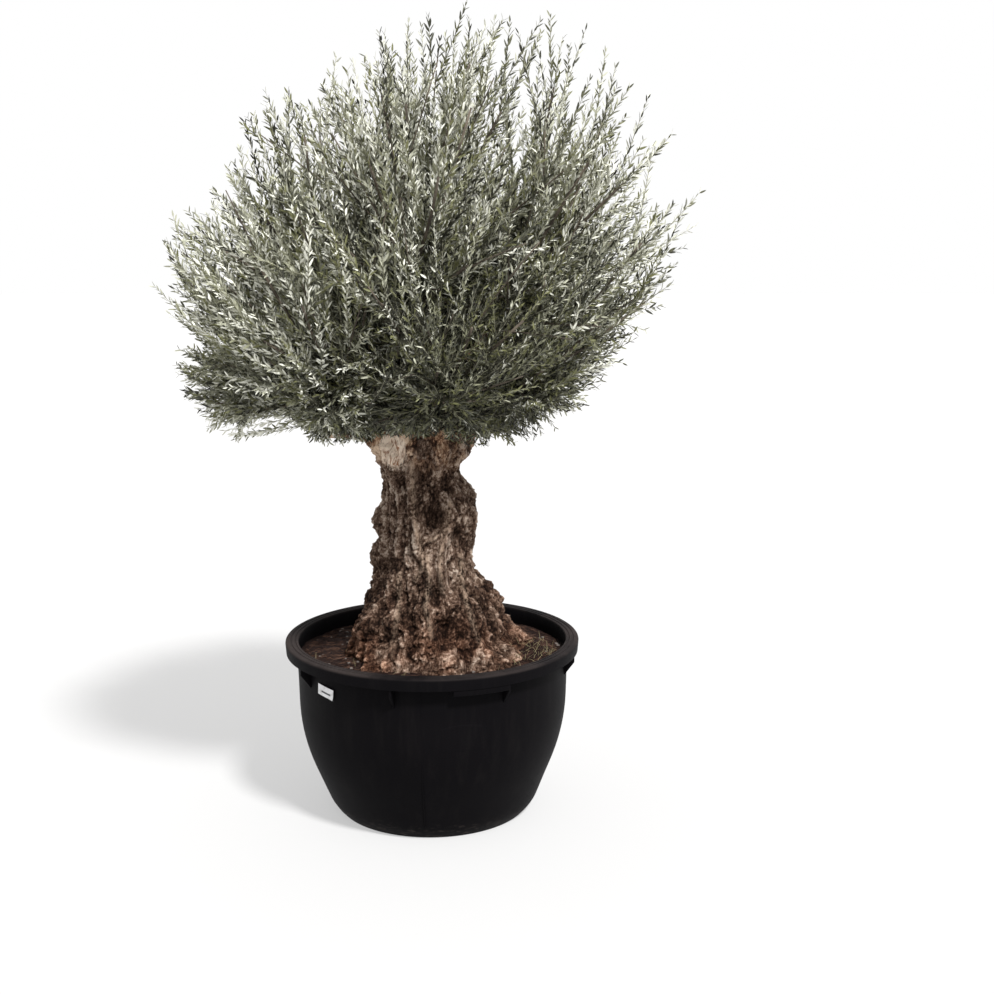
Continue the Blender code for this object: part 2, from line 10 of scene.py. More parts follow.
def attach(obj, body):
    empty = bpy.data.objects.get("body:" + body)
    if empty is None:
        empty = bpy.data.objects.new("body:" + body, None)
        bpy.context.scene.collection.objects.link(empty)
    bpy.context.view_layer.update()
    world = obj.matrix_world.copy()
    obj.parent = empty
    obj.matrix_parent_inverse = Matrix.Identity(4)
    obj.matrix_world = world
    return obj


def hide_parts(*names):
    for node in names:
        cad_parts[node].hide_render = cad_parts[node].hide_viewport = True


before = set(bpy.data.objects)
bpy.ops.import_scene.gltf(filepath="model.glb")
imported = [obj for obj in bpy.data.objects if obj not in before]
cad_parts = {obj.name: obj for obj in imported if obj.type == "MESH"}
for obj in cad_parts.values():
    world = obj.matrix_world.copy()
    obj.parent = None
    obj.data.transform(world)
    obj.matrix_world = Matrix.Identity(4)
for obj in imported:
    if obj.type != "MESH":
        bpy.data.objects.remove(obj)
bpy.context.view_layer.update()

# ---- Studio ----
# The camera stands in front and a little above, and looks down on the pot. The floor is one pale
# sheet, and a soft key light from the front right joins the even light of the white room.

CAMERA_PLACE = (0.265, -5.5, 2.29)
CAMERA_PITCH = 0.18
CAMERA_LENS = 50.07
ROOM_LIGHT = 1.0
KEY_LIGHT = 5.6
KEY_WAY = (-0.42, 0.62, -0.95)
KEY_SOFTNESS = 9.0
FLOOR_HALF = 60.0
FLOOR_COLOR = (0.235, 0.233, 0.231)
FLOOR_GLOW = 0.45  # the floor is lit from below, so that shadows on it stay faint

camera_data = bpy.data.cameras.new("camera")
camera_data.lens = CAMERA_LENS
camera = bpy.data.objects.new("camera", camera_data)
camera.location = CAMERA_PLACE
camera.rotation_euler = (math.pi / 2 - CAMERA_PITCH, 0.0, 0.0)
bpy.context.scene.collection.objects.link(camera)
bpy.context.scene.camera = camera

world = bpy.data.worlds.new("studio")
world.use_nodes = True
world.node_tree.nodes["Background"].inputs["Color"].default_value = (1.0, 1.0, 1.0, 1.0)
world.node_tree.nodes["Background"].inputs["Strength"].default_value = ROOM_LIGHT
bpy.context.scene.world = world
bpy.context.scene.view_settings.view_transform = "Standard"

lamp_data = bpy.data.lights.new("key_lamp", "SUN")
lamp_data.energy = KEY_LIGHT
lamp_data.angle = math.radians(KEY_SOFTNESS)
lamp = bpy.data.objects.new("key_lamp", lamp_data)
lamp.rotation_euler = Vector(KEY_WAY).to_track_quat("-Z", "Y").to_euler()
bpy.context.scene.collection.objects.link(lamp)

floor_mesh = bmesh.new()
bmesh.ops.create_grid(floor_mesh, x_segments=2, y_segments=2, size=FLOOR_HALF)
floor_data = bpy.data.meshes.new("floor")
floor_mesh.to_mesh(floor_data)
floor_mesh.free()
floor = bpy.data.objects.new("floor", floor_data)
bpy.context.scene.collection.objects.link(floor)
floor_finish = bpy.data.materials.new("pale_floor")
floor_finish.use_nodes = True
floor_shader = floor_finish.node_tree.nodes["Principled BSDF"]
floor_shader.inputs["Base Color"].default_value = (*FLOOR_COLOR, 1.0)
floor_shader.inputs["Roughness"].default_value = 0.9
floor_shader.inputs["Emission Color"].default_value = (1.0, 1.0, 1.0, 1.0)
floor_shader.inputs["Emission Strength"].default_value = FLOOR_GLOW
floor_data.materials.append(floor_finish)

# ---- Pot ----
# The nursery pot is blow-moulded black polyethylene: a bowl that rounds in to its foot, with a
# rolled lip that hangs over as a skirt, fins under the skirt and a carrying bar front and back.

POT_HEIGHT = 0.712
RIM_RADIUS = 0.600
LIP_HEIGHT = 0.048
LIP_WALL = 0.006
LIP_INNER_RADIUS = 0.549
LIP_ROUND = 0.008
LIP_STEPS = 4
SKIRT_TAPER = 0.003
LIP_GROOVES = (0.560, 0.577)
GROOVE_WIDTH = 0.007
GROOVE_DEPTH = 0.0025
WALL_TOP_RADIUS = 0.554
WALL_BEND_RADIUS = 0.544
WALL_BEND_HEIGHT = 0.330
WALL_BEND_REACH = 0.140
SHOULDER_RADIUS = 0.424
SHOULDER_HEIGHT = 0.032
FOOT_RADIUS = 0.392
FOOT_BEND_START = 0.18  # of the way up from the shoulder to the wall's bend
FOOT_RING = 0.030
FOOT_GROOVE = 0.004
WALL = 0.007
POT_STEPS = 240
WAVE_SCALE = (2.2, 2.2, 3.0)
WAVE_DEPTH = 0.004
WAVE_MARGIN = 0.020
FIN_COUNT = 8
FIN_FIRST_ANGLE = math.radians(-58.0)
FIN_REACH = 0.038
FIN_HEIGHT = 0.085
FIN_THICKNESS = 0.010
FIN_ROUND = 0.0018
HANDLE_SPAN = math.radians(22.0)
HANDLE_INSET = 0.006
HANDLE_DEPTH = 0.024
HANDLE_WIDTH = 0.022
HANDLE_LAP = 0.0144  # up into the lip
HANDLE_STEPS = 16
HANDLE_ROUND = 0.003


class Value:
    """The output of a shader node, on which Python's operators build further Math nodes."""

    def __init__(self, finish, socket):
        self.finish = finish
        self.socket = socket

    def math(self, operation, first, second):
        return self.finish.node("ShaderNodeMath", {"operation": operation}, {0: first, 1: second})

    def __add__(self, other):
        return self.math("ADD", self, other)

    __radd__ = __add__

    def __sub__(self, other):
        return self.math("SUBTRACT", self, other)

    def __rsub__(self, other):
        return self.math("SUBTRACT", other, self)

    def __mul__(self, other):
        return self.math("MULTIPLY", self, other)

    __rmul__ = __mul__


class Finish:
    """A procedural material, painted in object coordinates on one Principled shader."""

    def __init__(self, name):
        self.material = bpy.data.materials.new(name)
        self.material.use_nodes = True
        self.tree = self.material.node_tree
        self.shader = self.tree.nodes["Principled BSDF"]
        self.place = self.node("ShaderNodeTexCoord", {}, {}, "Object")

    def node(self, kind, settings, sockets, output=0):
        """Any node: its settings come first, then the values or links of its sockets."""
        node = self.tree.nodes.new(kind)
        for name, value in settings.items():
            if name == "stops":
                while len(node.color_ramp.elements) < len(value):
                    node.color_ramp.elements.new(1.0)
                for element, (position, color) in zip(node.color_ramp.elements, value):
                    element.position = position
                    element.color = (*color, 1.0)
            else:
                setattr(node, name, value)
        for name, value in sockets.items():
            self.set(node.inputs[name], value)
        return Value(self, node.outputs[output])

    def set(self, socket, value):
        if isinstance(value, Value):
            self.tree.links.new(value.socket, socket)
        elif isinstance(value, tuple) and len(value) == 3 and socket.type == "RGBA":
            socket.default_value = (*value, 1.0)
        else:
            socket.default_value = value

    def axes(self):
        """The x, y and z of the object coordinates."""
        split = self.node("ShaderNodeSeparateXYZ", {}, {"Vector": self.place})
        return [Value(self, output) for output in split.socket.node.outputs]

    def scaled(self, scale):
        """Object coordinates stretched by a factor on each axis."""
        return self.node("ShaderNodeMapping", {}, {"Vector": self.place, "Scale": scale})

    def noise(self, scale, detail=3.0, roughness=0.55, vector=None, distortion=0.0):
        sockets = {"Scale": scale, "Detail": detail, "Roughness": roughness, "Distortion": distortion}
        return self.node("ShaderNodeTexNoise", {}, {"Vector": vector or self.place, **sockets})

    def mask(self, value, low, high):
        """0 where the value is under low, 1 over high, smooth between."""
        sockets = {"Value": value, "From Min": low, "From Max": high}
        return self.node("ShaderNodeMapRange", {"interpolation_type": "SMOOTHSTEP"}, sockets)

    def attribute(self, name):
        return self.node("ShaderNodeAttribute", {"attribute_name": name}, {}, "Fac")

    def ramp(self, value, *stops):
        return self.node("ShaderNodeValToRGB", {"stops": stops}, {"Fac": value})

    def mix(self, factor, first, second, blend="MIX"):
        settings = {"data_type": "RGBA", "blend_type": blend}
        return self.node("ShaderNodeMix", settings, {0: factor, 6: first, 7: second}, 2)

    def two_tone(self, scale, dark, light, detail=2.0, edges=None):
        """A colour that drifts between two tones, and the noise that it follows."""
        tone = self.noise(scale, detail)
        share = self.mask(tone, *edges) if edges else tone
        return self.mix(share, dark, light), tone

    def paint(self, color, roughness, height=None, depth=0.001, **constants):
        """Link or set colour and roughness, and raise the surface by height times depth in metres."""
        self.set(self.shader.inputs["Base Color"], color)
        self.set(self.shader.inputs["Roughness"], roughness)
        for name, value in constants.items():
            self.shader.inputs[name.replace("_", " ")].default_value = value
        if height:
            sockets = {"Height": height, "Distance": depth, "Strength": 1.0}
            bump = self.node("ShaderNodeBump", {}, sockets, "Normal")
            self.set(self.shader.inputs["Normal"], bump)


def dress(piece, finish, replaces=()):
    """Give a piece its finish, let it ride on the tree's one body, and hide the parts that it replaces."""
    bpy.context.scene.collection.objects.link(piece)
    piece.data.materials.append(finish.material)
    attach(piece, "root")
    for node in replaces:
        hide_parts(node)


def make_piece(name, bm, finish, replaces=(), sharp=35.0):
    """A dressed piece from a bmesh, shaded smooth but for edges that turn more than sharp degrees."""
    mesh = bpy.data.meshes.new(name)
    bm.to_mesh(mesh)
    bm.free()
    mesh.shade_smooth()
    mesh.set_sharp_from_angle(angle=math.radians(sharp))
    dress(bpy.data.objects.new(name, mesh), finish, replaces)


def turned_round(bm, geom, steps, span=math.tau):
    """Spin geometry about the Z axis; a full turn is closed."""
    full = span == math.tau
    bmesh.ops.spin(
        bm, geom=geom, cent=(0.0, 0.0, 0.0), axis=(0.0, 0.0, 1.0), angle=span, steps=steps, use_merge=full
    )


def spun(profile, steps):
    """A bmesh turned about the Z axis from (radius, height) points."""
    bm = bmesh.new()
    verts = [bm.verts.new((radius, 0.0, height)) for radius, height in profile]
    edges = [bm.edges.new(pair) for pair in zip(verts, verts[1:])]
    turned_round(bm, verts + edges, steps)
    bmesh.ops.remove_doubles(bm, verts=bm.verts, dist=1e-6)
    bmesh.ops.recalc_face_normals(bm, faces=bm.faces)
    return bm


def round_edges(bm, edges, width):
    bmesh.ops.bevel(bm, geom=edges, offset=width, affect="EDGES", segments=2, profile=0.5, material=-1)


def wall_curve(inset, points=9):
    """The wall from under the lip to the foot: straight, rounded at its bend, then straight to the foot."""
    top = Vector((WALL_TOP_RADIUS, POT_HEIGHT - LIP_HEIGHT))
    shoulder = Vector((SHOULDER_RADIUS, SHOULDER_HEIGHT))
    bend = Vector((WALL_BEND_RADIUS, WALL_BEND_HEIGHT))
    bend_start = bend + (top - bend).normalized() * WALL_BEND_REACH
    bend_end = bend + (shoulder - bend).normalized() * WALL_BEND_REACH
    foot = Vector((FOOT_RADIUS, 0.0))
    curve = [top.lerp(bend_start, step / 3) for step in range(3)]
    for step in range(points + 1):
        t = step / points
        curve.append(bend_start * (1 - t) ** 2 + bend * 2 * t * (1 - t) + bend_end * t**2)
    foot_start = shoulder.lerp(bend_end, FOOT_BEND_START)
    curve += [bend_end.lerp(foot_start, step / 3) for step in (1, 2)]
    for step in range(5):
        t = step / 4
        curve.append(foot_start * (1 - t) ** 2 + shoulder * 2 * t * (1 - t) + foot * t**2)
    return [(point.x - inset, max(point.y, inset)) for point in curve]


def lip_top():
    """The lip's flat top from the inner edge outwards, with its moulded grooves."""
    points = [(LIP_INNER_RADIUS - 0.002, POT_HEIGHT - 0.004), (LIP_INNER_RADIUS, POT_HEIGHT - 0.001)]
    for groove in LIP_GROOVES:
        points.append((groove - GROOVE_WIDTH / 2, POT_HEIGHT))
        points.append((groove - GROOVE_WIDTH / 4, POT_HEIGHT - GROOVE_DEPTH))
        points.append((groove + GROOVE_WIDTH / 4, POT_HEIGHT - GROOVE_DEPTH))
        points.append((groove + GROOVE_WIDTH / 2, POT_HEIGHT))
    for step in range(LIP_STEPS + 1):
        turn = step / LIP_STEPS * math.pi / 2
        radius = RIM_RADIUS - LIP_ROUND + LIP_ROUND * math.sin(turn)
        points.append((radius, POT_HEIGHT - LIP_ROUND + LIP_ROUND * math.cos(turn)))
    return points


def pot_profile():
    """The pot's wall in section, from the middle of its floor inside to the middle of its underside."""
    skirt = RIM_RADIUS - SKIRT_TAPER
    bottom = POT_HEIGHT - LIP_HEIGHT
    inside = wall_curve(WALL)[::-1]
    skirt_wall = [(skirt, bottom), (skirt - LIP_WALL, bottom), (skirt - LIP_WALL, POT_HEIGHT - LIP_WALL)]
    under_lip = [(WALL_TOP_RADIUS + 0.003, POT_HEIGHT - LIP_WALL), (WALL_TOP_RADIUS, bottom + 0.030)]
    ring = FOOT_RADIUS - FOOT_RING
    underside = [(ring, 0.0), (ring - 0.006, FOOT_GROOVE), (0.0, FOOT_GROOVE)]
    outside = skirt_wall + under_lip + wall_curve(0.0) + underside
    return [(0.0, WALL)] + inside + lip_top() + outside


pot_plastic = Finish("pot_plastic")
cloud = pot_plastic.noise(3.5, 4.0, 0.6)
grain = pot_plastic.noise(420.0, 2.0)
_, _, height_above_floor = pot_plastic.axes()
lip_dust = pot_plastic.mask(height_above_floor, 0.700, 0.712) * pot_plastic.mask(cloud, 0.25, 0.75)
foot_scuff = (1 - pot_plastic.mask(height_above_floor, 0.015, 0.085)) * pot_plastic.mask(
    pot_plastic.noise(26.0, 5.0, 0.7, pot_plastic.scaled((1.0, 1.0, 3.5))), 0.50, 0.72
)
runs_down = pot_plastic.scaled((2.5, 2.5, 0.35))
streaks = pot_plastic.mask(pot_plastic.noise(9.0, 5.0, 0.65, runs_down), 0.45, 0.85)
black = pot_plastic.mix(cloud, (0.0017, 0.0015, 0.0020), (0.0036, 0.0031, 0.0037))
washed = pot_plastic.mix(streaks * 0.25, black, (0.0120, 0.0105, 0.0100))
dusty = pot_plastic.mix(lip_dust * 0.80, washed, (0.0370, 0.0295, 0.0275))
pot_color = pot_plastic.mix(foot_scuff * 0.7, dusty, (0.0600, 0.0500, 0.0450))
pot_roughness = 0.46 + 0.16 * cloud + 0.20 * lip_dust + 0.15 * foot_scuff
pot_plastic.paint(
    pot_color, pot_roughness, height=grain + cloud * 3.0, depth=0.0006, Specular_IOR_Level=0.03
)

lip_bottom = POT_HEIGHT - LIP_HEIGHT
pot_shell = spun(pot_profile(), POT_STEPS)
for vert in pot_shell.verts:
    # The thick plastic wall has sagged a little: broad shallow waves, none at the lip or the foot.
    flat = Vector((vert.co.x, vert.co.y, 0.0))
    if WAVE_MARGIN < vert.co.z < lip_bottom - WAVE_MARGIN and flat.length > FOOT_RADIUS:
        wave = noise.noise(vert.co * Vector(WAVE_SCALE))
        vert.co += flat.normalized() * wave * WAVE_DEPTH
make_piece("pot_shell", pot_shell, pot_plastic, ("pot",))

fins = bmesh.new()
for index in range(FIN_COUNT):
    # Each fin is a plate from the wall to the skirt, cut off aslant below and rounded on its edges.
    fin = bmesh.ops.create_cube(fins, size=1.0)["verts"]
    inner, outer = WALL_TOP_RADIUS - WALL / 2, WALL_TOP_RADIUS + FIN_REACH
    for vert in fin:
        is_outer = vert.co.x > 0
        is_top = vert.co.z > 0
        vert.co.x = outer if is_outer else inner
        vert.co.y *= FIN_THICKNESS
        drop = FIN_HEIGHT / 3 if is_outer else FIN_HEIGHT
        vert.co.z = POT_HEIGHT - LIP_WALL * 1.5 if is_top else lip_bottom - drop
    turn = Matrix.Rotation(FIN_FIRST_ANGLE + index * math.tau / FIN_COUNT, 3, "Z")
    bmesh.ops.rotate(fins, verts=fin, matrix=turn)
round_edges(fins, fins.edges, FIN_ROUND)
make_piece("pot_fins", fins, pot_plastic)

handles = bmesh.new()
outer, inner = RIM_RADIUS - HANDLE_INSET, RIM_RADIUS - HANDLE_INSET - HANDLE_WIDTH
low, high = lip_bottom - HANDLE_DEPTH, lip_bottom + HANDLE_LAP
for half_turn in (0.0, math.pi):
    # A square bar runs on from a fin at the front, and another from the fin across the pot.
    start = Matrix.Rotation(FIN_FIRST_ANGLE - HANDLE_SPAN + half_turn, 3, "Z")
    section = ((inner, low), (outer, low), (outer, high), (inner, high))
    corners = [handles.verts.new(start @ Vector((radius, 0.0, height))) for radius, height in section]
    face = handles.faces.new(corners)
    turned_round(handles, [face, *face.edges, *face.verts], HANDLE_STEPS, HANDLE_SPAN)
bmesh.ops.recalc_face_normals(handles, faces=handles.faces)
sharp_edges = [edge for edge in handles.edges if edge.calc_face_angle(0.0) > 0.8]
round_edges(handles, sharp_edges, HANDLE_ROUND)
make_piece("pot_handles", handles, pot_plastic)

# A shallow plate is moulded on the front of the wall, with an arched top, and it is left blank. A
# mould seam runs down the wall beside it.

PLATE_ANGLE = math.radians(284.5)
PLATE_WIDTH = 0.170
PLATE_LOW = 0.405
PLATE_HIGH = 0.500
PLATE_ARCH = 0.014
PLATE_THICKNESS = 0.0016
PLATE_SINK = 0.002
PLATE_EDGE = (0.94, 0.0012)  # share of the plate where its rounded edge starts, and how far it falls
SEAM_ANGLE = math.radians(268.0)
SEAM_HALF_WIDTH = 0.004  # radians
SEAM_SINK = 0.0030
SEAM_THICKNESS = 0.0038
SEAM_ENDS = (0.060, 0.649)


def wall_radius(height):
    """The wall's outer radius at a height, read off the turned profile."""
    profile = wall_curve(0.0, 24)
    for (high_radius, high), (low_radius, low) in zip(profile, profile[1:]):
        if high >= height >= low:
            return low_radius + (high_radius - low_radius) * (height - low) / (high - low)
    return WALL_TOP_RADIUS


def wall_place(angle, height, stand_off):
    radius = wall_radius(height) + stand_off
    return Vector((radius * math.cos(angle), radius * math.sin(angle), height))


def wall_patch(across, up, thickness, place):
    """A small grid laid on the wall and given a thickness outwards."""
    bm = bmesh.new()
    bmesh.ops.create_grid(bm, x_segments=across, y_segments=up, size=1.0)
    for vert in bm.verts:
        vert.co = place(vert.co.x, vert.co.y)
    bmesh.ops.recalc_face_normals(bm, faces=bm.faces)
    middle = sum((vert.co for vert in bm.verts), Vector()) / len(bm.verts)
    if sum(face.normal.dot(middle) for face in bm.faces) < 0:
        bmesh.ops.reverse_faces(bm, faces=bm.faces)
    bmesh.ops.solidify(bm, geom=bm.faces, thickness=-thickness)
    bmesh.ops.recalc_face_normals(bm, faces=bm.faces)
    return bm


def plate_place(across, up):
    top = PLATE_HIGH + PLATE_ARCH * math.cos(across * math.pi / 2)
    height = PLATE_LOW + (top - PLATE_LOW) * (up + 1) / 2
    reach = across * PLATE_WIDTH / 2 / wall_radius(height)
    edge_start, fall = PLATE_EDGE
    edge = max(0.0, max(abs(across), abs(up)) - edge_start) / (1 - edge_start)
    return wall_place(PLATE_ANGLE + reach, height, -PLATE_SINK - fall * edge)


def seam_place(across, up):
    low, high = SEAM_ENDS
    height = low + (high - low) * (up + 1) / 2
    return wall_place(SEAM_ANGLE + across * SEAM_HALF_WIDTH, height, -SEAM_SINK)


plate = wall_patch(34, 22, PLATE_SINK + PLATE_THICKNESS, plate_place)
make_piece("pot_plate", plate, pot_plastic)
make_piece("pot_seam", wall_patch(2, 60, SEAM_THICKNESS, seam_place), pot_plastic)

# ---- Tag ----
# A blank white card of coated plastic is stuck on the wall under the lip, at the front left. It
# sits a little aslant and has one plain dark bar.

TAG_ANGLE = math.radians(224.5)
TAG_HEIGHT = 0.596
TAG_SIZE = (0.092, 0.043)
TAG_TILT = math.radians(6.0)
TAG_STAND_OFF = 0.0045
TAG_LIFT = 0.004
BAR_SIZE = (0.052, 0.007)
BAR_SHIFT = (0.004, -0.004)
BAR_STAND_OFF = 0.0055


def on_tag(across, up, stand_off):
    """A place on the wall from tag coordinates in metres, turned by the tag's tilt."""
    turned_across = across * math.cos(TAG_TILT) + up * math.sin(TAG_TILT)
    turned_up = up * math.cos(TAG_TILT) - across * math.sin(TAG_TILT)
    height = TAG_HEIGHT + turned_up
    return wall_place(TAG_ANGLE + turned_across / wall_radius(height), height, stand_off)


def tag_place(across, up):
    # The lower right corner has lifted a little off the wall.
    lift = TAG_LIFT * max(0.0, across) ** 3 * max(0.0, -up) ** 2
    return on_tag(across * TAG_SIZE[0] / 2, up * TAG_SIZE[1] / 2, TAG_STAND_OFF + lift)


def bar_place(across, up):
    shift_across, shift_up = BAR_SHIFT
    return on_tag(across * BAR_SIZE[0] / 2 + shift_across, up * BAR_SIZE[1] / 2 + shift_up, BAR_STAND_OFF)


card = Finish("coated_card")
smudge = card.noise(38.0, 3.0)
card_color = card.mix(card.mask(smudge, 0.45, 0.80), (0.64, 0.64, 0.65), (0.38, 0.37, 0.36))
card.paint(card_color, 0.34 + 0.2 * smudge, height=card.noise(160.0), depth=0.0002)
ink = Finish("card_ink")
ink_color, _ = ink.two_tone(300.0, (0.020, 0.020, 0.022), (0.070, 0.070, 0.072), 3.0)
ink.paint(ink_color, 0.5 + 0.1 * ink.noise(90.0))
make_piece("tag", wall_patch(18, 8, 0.0009, tag_place), card)
make_piece("tag_bar", wall_patch(12, 2, 0.0004, bar_place), ink)

# ---- Soil ----
# The pot is filled with a dark red-brown mix of bark fibre and peat, sunk a little at the rim and
# heaped against the trunk on the right, with loose fibres, small stones and some dry grass on it.

SOIL_LEVEL = 0.655
SOIL_EDGE_DROP = 0.010
SOIL_EDGE_START = 0.44
SOIL_GAP = 0.0008  # between the soil and the wall
SOIL_UNEVENNESS = ((6, 0.009, 3.0), (22, 0.005, 7.0), (70, 0.0032, 1.0))
SOIL_RINGS = 70
SOIL_STEPS = 220
HEAP_PLACE = Vector((0.40, -0.02))
HEAP_RISE = 0.030
HEAP_SPREAD = 0.13
FIBRES = 3600
FIBRE_LENGTH = (0.016, 0.070)
FIBRE_RADIUS = (0.0005, 0.0013)
STONES = 110
STONE_SIZE = (0.003, 0.009)
GRASS_BLADES = 150
GRASS_LENGTH = (0.03, 0.085)
GRASS_DROOP = 0.38
GRASS_RADII = (0.0007, 0.0009, 0.0008, 0.0006, 0.0003)


def soil_height(x, y):
    """The surface of the soil: a heap on the right, broad waves and small crumbs."""
    radius = math.hypot(x, y)
    heap = (Vector((x, y)) - HEAP_PLACE).length / HEAP_SPREAD
    height = SOIL_LEVEL + HEAP_RISE * math.exp(-heap * heap)
    for scale, rise, layer in SOIL_UNEVENNESS:
        height += rise * noise.noise(Vector((x * scale, y * scale, layer)))
    return height - SOIL_EDGE_DROP * max(0.0, (radius - SOIL_EDGE_START) / 0.10)


soil_edge = wall_radius(SOIL_LEVEL) - WALL - SOIL_GAP
profile = [(soil_edge * step / SOIL_RINGS, SOIL_LEVEL) for step in range(SOIL_RINGS + 1)]
side = [(radius - SOIL_GAP, height) for radius, height in wall_curve(WALL) if height < SOIL_LEVEL - 0.02]
soil = spun(profile + side + [(0.0, WALL + SOIL_GAP)], SOIL_STEPS)
for vert in soil.verts:
    if vert.co.z > SOIL_LEVEL - 0.001:
        vert.co.z = soil_height(vert.co.x, vert.co.y)

potting_mix = Finish("potting_mix")
crumbs = potting_mix.noise(95.0, 4.0, 0.7)
patches = potting_mix.noise(7.0, 4.0, 0.6)
strands = potting_mix.noise(60.0, 4.0, 0.6, potting_mix.scaled((1.0, 0.25, 1.0)), 1.5)
damp = potting_mix.mix(patches, (0.0085, 0.0042, 0.0034), (0.0150, 0.0064, 0.0048))
mixed = potting_mix.mix(potting_mix.mask(strands, 0.52, 0.72) * 0.6, damp, (0.026, 0.0120, 0.0085))
soil_color = potting_mix.mix(potting_mix.mask(crumbs, 0.58, 0.78) * 0.5, mixed, (0.042, 0.0220, 0.0160))
potting_mix.paint(
    soil_color, 0.92 - 0.1 * patches, height=crumbs + strands, depth=0.005, Specular_IOR_Level=0.12
)
make_piece("soil_surface", soil, potting_mix, ("soil",), sharp=60.0)


def joined_mesh(name, verts, faces):
    """One mesh from arrays of points and of faces that all have the same number of corners."""
    verts = np.asarray(verts, np.float32).reshape(-1, 3)
    faces = np.asarray(faces, np.int32)
    count, corners = faces.shape
    mesh = bpy.data.meshes.new(name)
    mesh.vertices.add(len(verts))
    mesh.vertices.foreach_set("co", verts.ravel())
    mesh.loops.add(count * corners)
    mesh.loops.foreach_set("vertex_index", faces.ravel())
    mesh.polygons.add(count)
    mesh.polygons.foreach_set("loop_start", np.arange(0, count * corners, corners, dtype=np.int32))
    mesh.update(calc_edges=True)
    mesh.validate()
    return bpy.data.objects.new(name, mesh)


def strand_arrays(paths, radii, sides=3):
    """Points and triangles of many thin tapering strands, each closed to a point at both its ends."""
    count, rings = paths.shape[:2]
    ways = np.gradient(paths, axis=1)
    ways /= np.linalg.norm(ways, axis=2, keepdims=True) + 1e-12
    helper = np.where(np.abs(ways[:, :1, 2:]) > 0.8, [[[1.0, 0.0, 0.0]]], [[[0.0, 0.0, 1.0]]])
    first = np.cross(ways, np.broadcast_to(helper, ways.shape))
    first /= np.linalg.norm(first, axis=2, keepdims=True) + 1e-12
    second = np.cross(ways, first)
    turns = np.arange(sides) / sides * math.tau
    ring = (
        first[:, :, None] * np.cos(turns)[None, None, :, None]
        + second[:, :, None] * np.sin(turns)[None, None, :, None]
    )
    verts = paths[:, :, None] + ring * radii[:, :, None, None]
    faces = []
    for low in range(rings - 1):
        for turn in range(sides):
            after = (turn + 1) % sides
            a, b = low * sides + turn, low * sides + after
            faces += [(a, b, b + sides), (a, b + sides, a + sides)]
    for turn in range(1, sides - 1):
        faces.append((0, turn + 1, turn))
        last = (rings - 1) * sides
        faces.append((last, last + turn, last + turn + 1))
    faces = np.array(faces)[None] + (np.arange(count) * rings * sides)[:, None, None]
    return verts.reshape(-1, 3), faces.reshape(-1, 3)


def soil_place(chance, nearest, margin):
    """Anywhere on the soil, from a share of its area out to a margin at the wall."""
    radius = math.sqrt(chance.uniform(nearest, 1.0)) * (soil_edge - margin)
    angle = chance.uniform(0, math.tau)
    return radius * math.cos(angle), radius * math.sin(angle)


chance = random.Random(5)
fibre_paths, fibre_radii = [], []
while len(fibre_paths) < FIBRES:
    x, y = soil_place(chance, 0.06, 0.012)
    turn = chance.gauss(0.0, 0.8)
    bend = chance.uniform(-0.9, 0.9)
    length = chance.uniform(*FIBRE_LENGTH)
    path = []
    for step in range(4):
        path.append(Vector((x, y, soil_height(x, y) + 0.0012 + 0.002 * chance.random())))
        x += math.cos(turn + bend * step / 3) * length / 3
        y += math.sin(turn + bend * step / 3) * length / 3
    if all(math.hypot(point.x, point.y) < soil_edge - 0.004 for point in path):
        fibre_paths.append(path)
        thick = chance.uniform(*FIBRE_RADIUS)
        fibre_radii.append((thick * 0.5, thick, thick * 0.9, thick * 0.3))
fibre_verts, fibre_faces = strand_arrays(np.array(fibre_paths), np.array(fibre_radii))
fibre = Finish("dry_fibre")
color, tone = fibre.two_tone(30.0, (0.014, 0.0065, 0.0048), (0.100, 0.055, 0.038), edges=(0.35, 0.70))
fibre.paint(color, 0.8 + 0.1 * tone, Specular_IOR_Level=0.10)
dress(joined_mesh("soil_fibres", fibre_verts, fibre_faces), fibre)

stones = bmesh.new()
for index in range(STONES):
    x, y = soil_place(chance, 0.2, 0.015)
    size = chance.uniform(*STONE_SIZE)
    stone = bmesh.ops.create_icosphere(stones, subdivisions=1, radius=size)["verts"]
    for vert in stone:
        vert.co *= 0.75 + 0.5 * chance.random()
        vert.co.z *= 0.6
    bmesh.ops.translate(stones, verts=stone, vec=(x, y, soil_height(x, y) + size * 0.25))
grit = Finish("grit")
color, tone = grit.two_tone(45.0, (0.050, 0.038, 0.032), (0.130, 0.112, 0.098))
grit.paint(color, 0.8 + 0.1 * tone)
make_piece("soil_stones", stones, grit, sharp=50.0)

grass_paths, grass_radii = [], []
for index in range(GRASS_BLADES):
    # Most of the grass stands on the heap to the right of the trunk.
    near_heap = index % 4 != 0
    spread = 0.075 if near_heap else 0.22
    x = (HEAP_PLACE.x + 0.03 if near_heap else 0.0) + chance.gauss(0.0, spread)
    y = (HEAP_PLACE.y - 0.10 if near_heap else -0.28) + chance.gauss(0.0, spread * 0.9)
    if not 0.30 < math.hypot(x, y) < soil_edge - 0.03:
        continue
    lean = Vector((chance.gauss(0.0, 0.5), chance.gauss(0.0, 0.5), 1.0)).normalized()
    length = chance.uniform(*GRASS_LENGTH)
    start = Vector((x, y, soil_height(x, y) - 0.004))
    limit = soil_edge - 0.004
    path = []
    for step in range(len(GRASS_RADII)):
        t = step / (len(GRASS_RADII) - 1)
        point = start + lean * length * t - Vector((0.0, 0.0, length * GRASS_DROOP * t * t))
        if math.hypot(point.x, point.y) > limit:
            point.xy *= limit / math.hypot(point.x, point.y)
        path.append(point)
    grass_paths.append(path)
    grass_radii.append(GRASS_RADII)
